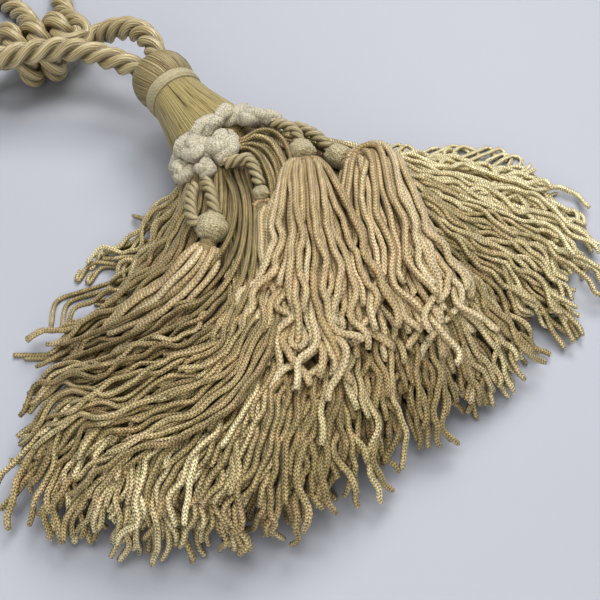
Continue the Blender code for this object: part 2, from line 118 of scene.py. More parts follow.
def smooth_route(points: Sequence, step: float) -> np.ndarray:
    """Read a smooth curve through points at an even step.

    Args:
        points: the given points, in millimetres.
        step: the wanted distance between two points of the result.
    Returns:
        The points of the curve, evenly spaced.
    """
    pts = np.asarray(points, float)
    ext = np.vstack([pts[0] * 2 - pts[1], pts, pts[-1] * 2 - pts[-2]])
    t = np.linspace(0, 1, 16, endpoint=False)[:, None]
    a, b, c, d = (ext[i:len(ext) - 3 + i, None, :] for i in range(4))
    fine = 0.5 * (2 * b + (c - a) * t + (2 * a - 5 * b + 4 * c - d) * t ** 2
                  + (3 * b - a - 3 * c + d) * t ** 3)
    fine = np.vstack([fine.reshape(-1, 3), ext[-2]])
    run = travelled(fine)
    count = max(2, round(run[-1] / step))
    want = np.linspace(0, run[-1], count + 1)
    return np.column_stack([np.interp(want, run, fine[:, k]) for k in range(3)])


def side_frames(points: np.ndarray) -> tuple[np.ndarray, np.ndarray]:
    """Carry a normal along a route without twist; return the normals and binormals."""
    tangents = np.gradient(points, axis=0)
    tangents /= np.maximum(np.linalg.norm(tangents, axis=1, keepdims=True), 1e-9)
    normals = np.empty_like(points)
    normal = np.array([0.13, 0.2, 1.0])
    for i, t in enumerate(tangents):
        normal = normal - t * (normal @ t)
        size = math.sqrt(normal @ normal)
        if size < 1e-4:
            normal = np.cross(t, (1.0, 0.0, 0.0))
            size = math.sqrt(normal @ normal)
        normal = normal / size
        normals[i] = normal
    return normals, np.cross(tangents, normals)


# ---------------------------------------------------------------- mesh makers


def new_object(name: str, mesh: bpy.types.Mesh, finish: bpy.types.Material,
               nodes: Sequence[str]) -> bpy.types.Object:
    """Link a finished mesh as a piece that rides on the root body.

    Args:
        name: the piece's name.
        mesh: the mesh, already in the frame's metres.
        finish: its material.
        nodes: the nodes the piece stands for.
    Returns:
        The new object.
    """
    obj = bpy.data.objects.new(name, mesh)
    bpy.context.scene.collection.objects.link(obj)
    mesh.materials.append(finish)
    mesh.polygons.foreach_set("use_smooth", np.ones(len(mesh.polygons), bool))
    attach(obj, "root")
    if nodes:
        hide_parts(*nodes)
    LOG.info("%s: %d faces", name, len(mesh.polygons))
    return obj


class TubeSet:
    """Tubes that are drawn as welded grids, one row a ring, and then bent along their routes.

    A ring's numbers are its centre, normal and binormal, its run, share and tone, and its radii.
    """

    RUN, SHARE, TONE, RADII = 9, 10, 11, 12

    def __init__(self, sides: int) -> None:
        """Start an empty set whose tubes have the given number of sides."""
        self.sides = sides
        self.bm = bmesh.new()
        self.bm.loops.layers.uv.new("UVMap")
        self.welds: dict[bmesh.types.BMVert, bmesh.types.BMVert] = {}
        self.rings: list[np.ndarray] = []
        self.count = 0

    def add(self, points: np.ndarray, radii: np.ndarray, tone: float = 0.5,
            seam: Seam = Seam.CLOSED_ENDS) -> None:
        """Add one tube.

        Args:
            points: the centres of its rings, in millimetres.
            radii: a radius for every ring, or for every ring and side.
            tone: a number from 0 to 1 kept on the tube for its material.
            seam: whether it is closed at its ends or joined into a ring.
        """
        radii = np.asarray(radii, float).reshape(len(points), -1)
        radii = np.broadcast_to(radii, (len(points), self.sides))
        run = travelled(points)
        normals, binormals = side_frames(points)
        share = run / run[-1]
        if seam is Seam.CLOSED_ENDS:
            keep = np.concatenate([[0], np.arange(len(points)), [len(points) - 1]])
            points, normals, binormals = points[keep], normals[keep], binormals[keep]
            radii, run, share = radii[keep].copy(), run[keep], share[keep]
            radii[0], radii[-1] = 0.0, 0.0
        else:
            points, normals, binormals, radii = (
                np.vstack([a, a[:1]]) for a in (points, normals, binormals, radii))
            gap = np.linalg.norm(points[-1] - points[-2])
            run, share = np.append(run, run[-1] + gap), np.append(share, 1.0)
        n = len(points)
        self.rings.append(
            np.column_stack([points, normals, binormals, run, share, np.full(n, tone), radii]))
        scale = Matrix.Diagonal((self.sides, n - 1, 1, 1))
        middle = Matrix.Translation((self.sides / 2, self.count + (n - 1) / 2, 0))
        made = bmesh.ops.create_grid(self.bm, x_segments=self.sides, y_segments=n - 1, size=0.5,
                                     matrix=middle @ scale, calc_uvs=True)["verts"]
        wide = self.sides + 1
        for row in range(n):
            first = made[row * wide]
            if seam is Seam.RING and row == n - 1:
                for k in range(wide):
                    self.welds[made[row * wide + k]] = made[k % self.sides]
            elif seam is Seam.CLOSED_ENDS and row in (0, n - 1):
                for k in range(1, wide):
                    self.welds[made[row * wide + k]] = first
            else:
                self.welds[made[row * wide + self.sides]] = first
        self.count += n

    def build(self, name: str) -> bpy.types.Mesh:
        """Weld the grids, bend them along their routes and return the mesh in metres."""
        bmesh.ops.weld_verts(self.bm, targetmap=self.welds)
        mesh = bpy.data.meshes.new(name)
        self.bm.to_mesh(mesh)
        self.bm.free()
        table = np.vstack(self.rings)
        flat = np.empty(len(mesh.vertices) * 3)
        mesh.vertices.foreach_get("co", flat)
        grid = np.rint(flat.reshape(-1, 3)).astype(int)
        side, ring = grid[:, 0] % self.sides, grid[:, 1]
        rows = table[ring]
        angle = TAU * side / self.sides
        radius = rows[np.arange(len(rows)), self.RADII + side]
        offset = rows[:, 3:6] * np.cos(angle)[:, None] + rows[:, 6:9] * np.sin(angle)[:, None]
        co = DATUM.place(rows[:, 0:3] + offset * radius[:, None])
        mesh.vertices.foreach_set("co", co.ravel())
        for label, column in (("tone", self.TONE), ("share", self.SHARE)):
            layer = mesh.attributes.new(label, "FLOAT", "POINT")
            layer.data.foreach_set("value", rows[:, column])
        corner = np.empty(len(mesh.loops), int)
        mesh.loops.foreach_get("vertex_index", corner)
        uv = np.empty(len(mesh.loops) * 2)
        mesh.uv_layers["UVMap"].data.foreach_get("uv", uv)
        uv = uv.reshape(-1, 2)
        uv[:, 1] = rows[corner, self.RUN]
        mesh.uv_layers["UVMap"].data.foreach_set("uv", uv.ravel())
        mesh.update()
        return mesh


def spun(profile: Sequence[tuple[float, float]], steps: int,
         relief: Callable[[float, float, float], float] | None = None) -> bmesh.types.BMesh:
    """Spin a profile of S, R about the Z axis of its own space.

    Args:
        profile: heights and radii, from pole to pole; a radius of zero lies on the axis.
        steps: the number of steps round.
        relief: a function of angle, height and radius that returns the dressed radius.
    Returns:
        A closed bmesh with a UV map of turns round and millimetres along.
    """
    bm = bmesh.new()
    verts = [bm.verts.new((r, 0, s)) for s, r in profile]
    edges = [bm.edges.new(pair) for pair in zip(verts, verts[1:])]
    bmesh.ops.spin(bm, geom=verts + edges, cent=(0, 0, 0), axis=(0, 0, 1), dvec=(0, 0, 0),
                   angle=TAU, steps=steps, use_merge=True)
    bmesh.ops.remove_doubles(bm, verts=bm.verts, dist=1e-4)
    bmesh.ops.recalc_face_normals(bm, faces=bm.faces)
    layer = bm.loops.layers.uv.new("UVMap")
    for face in bm.faces:
        middle = face.calc_center_median()
        around = math.atan2(middle.y, middle.x)
        for loop in face.loops:
            co = loop.vert.co
            angle = math.atan2(co.y, co.x) if math.hypot(co.x, co.y) > 1e-3 else around
            angle = around + (angle - around + math.pi) % TAU - math.pi
            loop[layer].uv = (angle / TAU, co.z)
    if relief:
        for vert in bm.verts:
            r = math.hypot(vert.co.x, vert.co.y)
            if r > 1e-3:
                angle = math.atan2(vert.co.y, vert.co.x)
                new = relief(angle, vert.co.z, r)
                vert.co.x, vert.co.y = new * math.cos(angle), new * math.sin(angle)
    return bm


def placed(bm: bmesh.types.BMesh, name: str, matrix: Matrix) -> bpy.types.Mesh:
    """Move a bmesh from its own space through a drawing matrix to metres, and return its mesh."""
    x, y, _ = DATUM.shift()
    bm.transform(Matrix.Scale(MM, 4) @ Matrix.Translation((x, y, 0)) @ matrix)
    mesh = bpy.data.meshes.new(name)
    bm.to_mesh(mesh)
    bm.free()
    return mesh


def aimed(centre: Sequence[float], direction: Sequence[float]) -> Matrix:
    """Return the matrix that puts the Z axis of a piece's own space along a direction."""
    turn = Vector(direction).to_track_quat("Z", "Y").to_matrix().to_4x4()
    return Matrix.Translation(Vector(centre)) @ turn


# ---------------------------------------------------------------- finishes


def linear(hex_colour: str) -> tuple[float, float, float, float]:
    """Return an sRGB hex colour as linear RGBA."""
    srgb = [int(hex_colour[i:i + 2], 16) / 255 for i in (1, 3, 5)]
    return (*(c / 12.92 if c <= 0.04045 else ((c + 0.055) / 1.055) ** 2.4 for c in srgb), 1.0)


class Shading:
    """A new material and the node tree in which a finish draws its pattern."""

    def __init__(self, name: str, levels: dict[str, float]) -> None:
        """Start a material whose Principled shader has the given constants, by socket."""
        self.material = bpy.data.materials.new(name)
        self.material.use_nodes = True
        self.tree = self.material.node_tree
        self.shader = self.tree.nodes["Principled BSDF"]
        for socket, level in levels.items():
            self.shader.inputs[socket].default_value = level

    def add(self, kind: str, *values: object, at: dict | None = None, out: int | str = 0,
            stops: Sequence = (), **settings: object) -> bpy.types.NodeSocket:
        """Add a node with its settings and links.

        Args:
            kind: the node's type, or in capitals the operation of a Math node.
            values: a value or an output for each of its first inputs.
            at: values or outputs for other inputs, by name or index.
            out: the output to return.
            stops: the places and colours of its colour ramp.
            settings: its properties.
        Returns:
            One of the node's outputs.
        """
        if kind.isupper():
            kind, settings = "Math", {"operation": kind}
        made = self.tree.nodes.new(f"ShaderNode{kind}")
        for key, value in settings.items():
            setattr(made, key, value)
        for _ in stops[2:]:
            made.color_ramp.elements.new(0.5)
        for index, (place, colour) in enumerate(stops):
            element = made.color_ramp.elements[index]
            element.position, element.color = place, linear(colour)
        for key, value in {**dict(enumerate(values)), **(at or {})}.items():
            if isinstance(value, bpy.types.NodeSocket):
                self.tree.links.new(value, made.inputs[key])
            else:
                made.inputs[key].default_value = value
        return made.outputs[out]

    def surface(self) -> tuple[bpy.types.NodeSocket, ...]:
        """Return the piece's UV map, the turns round it and the millimetres along it."""
        uv = self.add("UVMap", uv_map="UVMap")
        turns = self.add("SeparateXYZ", uv)
        return uv, turns, turns.node.outputs[1]

    def wave(self, lines: bpy.types.NodeSocket) -> bpy.types.NodeSocket:
        """Return a soft ridge from 0 to 1 on every line."""
        sine = self.add("SINE", self.add("MULTIPLY", lines, TAU))
        return self.add("MULTIPLY_ADD", sine, 0.5, 0.5)

    def fold(self, lines: bpy.types.NodeSocket) -> bpy.types.NodeSocket:
        """Return the distance from the middle of each line, from 0 to 0.5."""
        return self.add("ABSOLUTE", self.add("SUBTRACT", self.add("FRACT", lines), 0.5))

    def dress(self, colour: bpy.types.NodeSocket, height: bpy.types.NodeSocket | None = None,
              strength: float = 0.0, depth_mm: float = 0.0) -> bpy.types.Material:
        """Link the colour, and a bump where there is a height, and return the material."""
        self.tree.links.new(colour, self.shader.inputs["Base Color"])
        if height is not None:
            bump = self.add("Bump", at={"Strength": strength, "Distance": depth_mm * MM,
                                        "Height": height})
            self.tree.links.new(bump, self.shader.inputs["Normal"])
        return self.material


@dataclass(frozen=True)
class Finish:
    """What every yarn finish shares: its name, how its shader stands, and its bump.

    A piece's UV map counts turns round it and millimetres along it.
    """

    name: str
    roughness: float
    sheen: float = 0.25
    specular: float = 0.5
    bump: float = 0.6
    bump_mm: float = 0.3

    def start(self) -> Shading:
        """Start this finish's material."""
        return Shading(self.name, {"Roughness": self.roughness, "Sheen Weight": self.sheen,
                                   "Sheen Roughness": 0.4, "Specular IOR Level": self.specular})


@dataclass(frozen=True)
class ChainetteFinish(Finish):
    """Knitted rayon chainette: a fine tube of V stitches with the glint of a smooth filament.

    The stitches are drawn as pairs of slanted legs that meet in a row of Vs, each leg a little
    lighter or darker than the next at random, partly its own tone and partly a painted glint.  The
    ridges are painted lighter and the valleys and pinholes between the legs darker, as painted
    highlight and shade, so the eye reads a soft plait.  They are somewhat coarser than on real
    chainette, so that they show.  patch_scale is per millimetre: a patch is some 11 mm long.
    """

    dark: str = "#6D5F3C"
    middle: str = "#AD9D73"
    light: str = "#ECE2BA"
    warm: str = "#BF9A78"
    stitch_mm: float = 1.35
    wales: float = 4.0
    slant: float = 1.3
    valley_at: float = 0.36
    valley_fall: float = 5.0
    ribs: float = 0.85
    specks: float = 0.5
    level: float = 1.02
    darkest: float = 0.12
    patch_scale: float = 0.09
    patch_tone: float = 0.5
    patch_warmth: float = 2.0
    warmest: float = 0.25
    end_tone: float = 0.2
    end_late: float = 6.0
    bump: float = 0.7

    def build(self) -> bpy.types.Material:
        """Return the material, which reads the piece's UV map and its tone attribute."""
        s = self.start()
        add = s.add
        uv, turns, along = s.surface()
        tone = add("Attribute", out="Fac", attribute_name="tone")
        share = add("Attribute", out="Fac", attribute_name="share")
        column = add("MULTIPLY", turns, self.wales)
        fold = s.fold(column)
        legs = add("MULTIPLY_ADD", along, 1.0 / self.stitch_mm, add("MULTIPLY", fold, self.slant))
        valley = add("MULTIPLY", add("SUBTRACT", fold, self.valley_at), self.valley_fall)
        height = add("SUBTRACT", s.wave(legs), add("MAXIMUM", valley, 0.0))
        # a leg's own shade changes in the dip between two ridges, a quarter of a stitch on
        leg = add("CombineXYZ", add("FLOOR", add("MULTIPLY", column, 2.0)),
                  add("FLOOR", add("ADD", legs, 0.25)), tone)
        # each leg gets a random brightness: partly the yarn's own tone, partly a painted glint on
        # its stitch
        fleck_and_glint = add("TexWhiteNoise", at={"Vector": leg}, noise_dimensions="3D")
        at = {"Vector": uv, "Scale": self.patch_scale, "Detail": 2.0}
        patches = add("TexNoise", at=at, **FLAT)
        aside = add("SUBTRACT", patches, 0.5)
        # the strand's tone holds its own colour and painted light: hidden strands are painted
        # darker as shade and the lit right side lighter; random patches vary it, and it grows
        # lighter towards the strand's end
        tone_and_painted_light = add("MULTIPLY_ADD", aside, self.patch_tone, tone)
        tone_and_painted_light = add("MULTIPLY_ADD", add("POWER", share, self.end_late), self.end_tone, tone_and_painted_light)
        colour = add("ValToRGB", tone_and_painted_light,
                     stops=((0.0, self.dark), (0.5, self.middle), (1.0, self.light)))
        blush = add("Clamp", add("MULTIPLY", aside, self.patch_warmth), 0.0, self.warmest)
        colour = add("Mix", at={0: blush, 6: colour, 7: linear(self.warm)}, **RGBA)
        # painted light: the colour is lighter on the stitch ridges and darker in the valleys and
        # pinholes between them, as painted highlight and shade, and flecked with the painted glints
        deep = self.level - 0.5 * self.ribs - 0.5 * self.specks
        shade = add("MULTIPLY_ADD", fleck_and_glint, self.specks, deep)
        shade = add("MULTIPLY_ADD", height, self.ribs, shade)
        shade = add("MAXIMUM", shade, self.darkest)
        colour = add("Mix", at={0: 1.0, 6: colour, 7: shade}, blend_type="MULTIPLY", **RGBA)
        return s.dress(colour, height, self.bump, self.bump_mm)


@dataclass(frozen=True)
class RopeFinish(Finish):
    """Three-ply upholstery rope of satin rayon: each ply is wound with fine parallel yarns.

    The yarns show as hair lines that run nearly along the rope, and the ply glints along its crest.
    The grooves between the plies are painted darker, as painted shade.
    """

    dark: str = "#786844"
    middle: str = "#B1A27B"
    light: str = "#DCD3B4"
    groove_shade: str = "#3F321A"
    plies: float = 3.0
    yarns: float = 27.0
    pitch_mm: float = 31.0
    lean: float = 0.62
    groove_from: float = 0.24
    groove_depth: float = 0.75
    streak_across: float = 1.6
    streak_along: float = 0.08
    wave_tone: float = 0.22
    base_tone: float = -0.1
    relief: float = 0.7
    bump: float = 0.45
    bump_mm: float = 0.4

    def build(self) -> bpy.types.Material:
        """Return the material, which reads the piece's UV map."""
        s = self.start()
        add = s.add
        _, turns, along = s.surface()
        turned = add("MULTIPLY_ADD", along, 1.0 / self.pitch_mm, turns)
        edge = s.fold(add("MULTIPLY_ADD", turned, self.plies, 0.5))
        depth = add("MapRange", edge, self.groove_from, 0.5, interpolation_type="SMOOTHSTEP")
        lean = add("MULTIPLY", along, self.lean * self.yarns / self.pitch_mm)
        lines = add("MULTIPLY_ADD", turns, self.yarns, lean)
        wave = s.wave(lines)
        stretch = add("CombineXYZ", add("MULTIPLY", lines, self.streak_across),
                      add("MULTIPLY", along, self.streak_along))
        streak = add("TexNoise", at={"Vector": stretch, "Scale": 1.0, "Detail": 3.0}, **FLAT)
        tint = add("MULTIPLY_ADD", wave, self.wave_tone, add("ADD", streak, self.base_tone))
        colour = add("ValToRGB", tint,
                     stops=((0.1, self.dark), (0.48, self.middle), (0.85, self.light)))
        # painted shade: the colour darkens towards the grooves between the plies
        depth = add("MULTIPLY", depth, self.groove_depth)
        colour = add("Mix", at={0: depth, 6: colour, 7: linear(self.groove_shade)}, **RGBA)
        height = add("MULTIPLY_ADD", wave, self.relief, streak)
        return s.dress(colour, height, self.bump, self.bump_mm)


@dataclass(frozen=True)
class WoundFinish(Finish):
    """Rayon thread wound side by side over turned wood, with the odd dark gap between two threads.

    The threads lie along or round the piece; gaps of uneven width let the darker layer show.
    """

    dark: str = "#50462D"
    middle: str = "#91835B"
    light: str = "#B3A77F"
    threads: float = 150.0
    lean: float = 0.0
    rounds_mm: float = 0.0
    gaps: float = 0.35
    gap_soft: float = 0.10
    gap_relief: float = 1.2
    relief: float = 0.4
    streaks: float = 0.7
    streak_turns: float = 6.0
    streak_along: float = 0.028
    sway: float = 2.4
    sway_scale: float = 0.35

    def build(self) -> bpy.types.Material:
        """Return the material; threads run along the piece, or round it where rounds_mm is set."""
        s = self.start()
        add = s.add
        _, turns, along = s.surface()
        if self.rounds_mm:
            lines = add("MULTIPLY_ADD", along, 1.0 / self.rounds_mm, turns)
            across = add("MULTIPLY", turns, self.streak_turns)
        else:
            lines = add("MULTIPLY_ADD", turns, self.threads, add("MULTIPLY", along, self.lean))
            across = add("MULTIPLY", along, self.streak_along)
        place = add("CombineXYZ", lines, across)
        at = {"Vector": place, "Scale": self.sway_scale, "Detail": 1.0}
        sway = add("TexNoise", at=at, **FLAT)
        lines = add("MULTIPLY_ADD", sway, self.sway, lines)
        wave = s.wave(lines)
        place = add("CombineXYZ", lines, across)
        at = {"Vector": place, "Scale": 1.0, "Detail": 3.0, "Roughness": 0.7}
        streak = add("TexNoise", at=at, **FLAT)
        gap = add("MapRange", streak, self.gaps, self.gaps + self.gap_soft,
                  interpolation_type="SMOOTHSTEP")
        tint = add("MULTIPLY_ADD", wave, self.relief, add("MULTIPLY", streak, self.streaks))
        colour = add("ValToRGB", add("MULTIPLY", gap, tint),
                     stops=((0.0, self.dark), (0.42, self.middle), (0.9, self.light)))
        height = add("MULTIPLY_ADD", gap, self.gap_relief, wave)
        return s.dress(colour, height, self.bump, self.bump_mm)


@dataclass(frozen=True)
class GimpFinish(Finish):
    """Soft tubular gimp knitted from rayon: rows of small stitches, pale and a little fuzzy.

    The stitches are fine and uneven, so that it reads as a plump knitted cord and not a smooth one.
    The scales of its noises are per metre.
    """

    dark: str = "#978B6E"
    middle: str = "#BFB69D"
    light: str = "#D8D5C9"
    stitch_mm: float = 1.0
    wales: float = 18.0
    warp_scale: float = 220.0
    warp_across: float = 1.6
    warp_along: float = 2.0
    slant: float = 1.2
    valley: float = 0.9
    relief: float = 0.42
    fuzz: float = 0.8
    fuzz_scale: float = 900.0
    base_tone: float = 0.02
    bump: float = 0.8
    bump_mm: float = 0.5

    def build(self) -> bpy.types.Material:
        """Return the material, which reads the piece's UV map and Object coordinates."""
        s = self.start()
        add = s.add
        _, turns, along = s.surface()
        place = add("TexCoord", out="Object")
        warp = add("TexNoise", at={"Vector": place, "Scale": self.warp_scale})
        column = add("MULTIPLY_ADD", turns, self.wales, add("MULTIPLY", warp, self.warp_across))
        fold = s.fold(column)
        bent = add("MULTIPLY_ADD", fold, self.slant, add("MULTIPLY", warp, self.warp_along))
        wave = s.wave(add("MULTIPLY_ADD", along, 1.0 / self.stitch_mm, bent))
        height = add("SUBTRACT", wave, add("MULTIPLY", fold, self.valley))
        fuzz = add("TexNoise", at={"Vector": place, "Scale": self.fuzz_scale, "Detail": 2.0})
        fuzz = add("MULTIPLY_ADD", fuzz, self.fuzz, self.base_tone)
        tint = add("MULTIPLY_ADD", height, self.relief, fuzz)
        colour = add("ValToRGB", tint,
                     stops=((0.1, self.dark), (0.42, self.middle), (0.8, self.light)))
        return s.dress(colour, tint, self.bump, self.bump_mm)


@dataclass(frozen=True)
class BraidFinish(Finish):
    """Flat braid of rayon: a herringbone of fine slanting threads that meet along the middle."""

    dark: str = "#8C7F5B"
    light: str = "#C3BB9D"
    threads: float = 110.0
    slant: float = 0.9
    middle_mm: float = -3.6
    relief: float = 0.5
    streaks: float = 0.6
    streak_scale: float = 0.7
    bump: float = 0.5

    def build(self) -> bpy.types.Material:
        """Return the material, which reads the piece's UV map."""
        s = self.start()
        add = s.add
        _, turns, along = s.surface()
        aside = add("ABSOLUTE", add("SUBTRACT", along, self.middle_mm))
        lines = add("MULTIPLY_ADD", turns, self.threads, add("MULTIPLY", aside, self.slant))
        wave = s.wave(lines)
        place = add("CombineXYZ", lines, aside)
        at = {"Vector": place, "Scale": self.streak_scale, "Detail": 2.0}
        streak = add("TexNoise", at=at, **FLAT)
        tint = add("MULTIPLY_ADD", wave, self.relief, add("MULTIPLY", streak, self.streaks))
        colour = add("ValToRGB", tint, stops=((0.1, self.dark), (0.7, self.light)))
        return s.dress(colour, wave, self.bump, self.bump_mm)


@dataclass(frozen=True)
class TableFinish:
    """Matt pale laminate of the table, cool grey-white with hardly any sheen."""

    name: str = "table_laminate"
    colour: str = "#B6B9C0"
    shadow: str = "#B3B6BE"
    roughness: float = 0.55
    specular: float = 0.25
    mottle_scale: float = 3.0

    def build(self) -> bpy.types.Material:
        """Return the material with a faint mottle so that it isn't one flat colour."""
        s = Shading(self.name, {"Roughness": self.roughness, "Specular IOR Level": self.specular})
        add = s.add
        place = add("TexCoord", out="Object")
        mottle = add("TexNoise", at={"Vector": place, "Scale": self.mottle_scale})
        colours = {6: linear(self.colour), 7: linear(self.shadow)}
        return s.dress(add("Mix", at={0: mottle, **colours}, **RGBA))


# ---------------------------------------------------------------- rope


@dataclass
class Rope:
    """One thick three-ply rope: both ends in the dome, a three-turn knot and an open loop.

    The front leg crosses the knot, turns back as its core and leaves as one side of the loop; the
    loop's other side winds the turns and leaves as the back leg.
    """

    radius: float = 6.5
    ply_share: float = 0.50
    pitch: float = 31.0
    sides: int = 36
    step: float = 1.0
    eases: int = 30
    squeeze: float = 4.8
    leg_side: float = 3.5
    leg_up: float = 3.8
    recess: float = -18.6
    root_depths: tuple[float, float] = (0.5, 6.5)
    knot_a: tuple[float, float] = (-55.0, 137.4)
    knot_b: tuple[float, float] = (-16.5, 128.6)
    knot_height: float = 19.3
    turn_radius: float = 12.8
    turns_along: tuple[float, float] = (4.0, 34.5)
    turns_degrees: tuple[float, float] = (180.0, -675.0)
    leg_spread: float = 0.09
    leg_held: float = 3.5
    # distance along the knot's axis, behind it, and height
    core: tuple[Triple, ...] = ((6, 0, 19.3), (18, 0, 19.3), (30, 0, 19.3), (40.5, 1.5, 19.2),
                                (46, 8, 18.6), (46, 17, 16.6))
    entry: Triple = (9.5, 18.5, 16)
    leave: tuple[Triple, ...] = ((41.5, -10.4, 26.2), (48, -8.6, 23.8))
    # points of the drawing
    front: tuple[Triple, ...] = (
        (-5, 70.5, 33), (-8.2, 76.2, 33), (-11.4, 82, 33.4), (-15.6, 88.6, 34), (-22.8, 97.4, 35),
        (-32, 105, 35.6), (-41.5, 109.6, 35.6), (-52, 114.6, 34.8), (-63.5, 119.6, 33),
        (-73.6, 125.6, 29.4), (-80, 134, 24.6), (-77.6, 141.6, 20.8), (-69.4, 142, 19.4),
        (-58.2, 138.4, 19.3))
    back: tuple[Triple, ...] = (
        (-3.8, 117, 26.6), (2, 108.2, 32.2), (6.2, 99.6, 36), (8.3, 89, 38.8), (7.8, 78.4, 40),
        (6.4, 70.5, 39.6))
    loop: tuple[Triple, ...] = (
        (-6, 162, 11.6), (-3, 178, 7.6), (4, 198, 6.7), (18, 221, 6.7), (29, 249, 6.7),
        (25, 275, 6.7), (4, 290, 6.7), (-20, 284, 6.7), (-34, 262, 6.7), (-34, 236, 6.7),
        (-28, 210, 6.7), (-25, 186, 7.4), (-28, 168, 10.4), (-33, 154.6, 15))

    def at_knot(self, along: float, behind: float, height: float) -> Triple:
        """Return a point by its distance along the knot's axis, behind it, and its height."""
        a, b = Vector(self.knot_a), Vector(self.knot_b)
        d = (b - a).normalized()
        p = a + d * along + Vector((-d.y, d.x)) * behind
        return (p.x, p.y, height)

    def turns(self) -> list[Triple]:
        """Return the route of the knot's turns, from its left back over the top to its right."""
        start, end = self.turns_along
        first, last = self.turns_degrees
        count = 30
        out = []
        for i in range(count + 1):
            f = i / count
            angle = math.radians(first + (last - first) * f)
            out.append(self.at_knot(start + (end - start) * f, -self.turn_radius * math.cos(angle),
                                    self.knot_height + self.turn_radius * math.sin(angle)))
        return out

    def route(self) -> np.ndarray:
        """Return the whole rope's centre line, from the front leg's root to the back leg's."""
        side, up = self.leg_side, self.leg_up
        left, right = ([DATUM.head_point(self.recess - depth, sign * side, sign * up)
                        for depth in self.root_depths] for sign in (-1, 1))
        core = [self.at_knot(*p) for p in self.core]
        leave = [self.at_knot(*p) for p in self.leave]
        points = [*left, *self.front, *core, *self.loop, self.at_knot(*self.entry), *self.turns(),
                  *leave, *self.back, *right[::-1]]
        line = smooth_route([tuple(p) for p in points], self.step)
        for _ in range(self.eases):
            line[1:-1] = (line[:-2] + 2 * line[1:-1] + line[2:]) / 4
        return line

    def section(self, turn: np.ndarray) -> np.ndarray:
        """Return the share of the full radius at an angle, for three plies pressed together."""
        ply = (turn + math.pi / 3) % (TAU / 3) - math.pi / 3
        arm = 1.0 - self.ply_share
        return arm * np.cos(ply) + np.sqrt(
            np.maximum(self.ply_share ** 2 - (arm * np.sin(ply)) ** 2, 0.01))

    def build(self) -> bpy.types.Object:
        line = self.route()
        run = travelled(line)
        near = np.minimum(run, run[-1] - run)
        freed = np.maximum(0.0, near - self.leg_held)
        full = np.minimum(self.radius, self.squeeze + self.leg_spread * freed)
        angle = TAU * np.arange(self.sides)[None, :] / self.sides
        radii = full[:, None] * self.section(angle + TAU * run[:, None] / self.pitch)
        tubes = TubeSet(self.sides)
        tubes.add(line, radii)
        finish = RopeFinish("satin_rope_three_ply", 0.36, sheen=0.2, specular=0.7).build()
        rope = new_object("rope", tubes.build("rope"), finish,
                          ["rope_leg_front", "rope_leg_back", "rope_loop", "rope_knot"])
        return rope


# ---------------------------------------------------------------- head


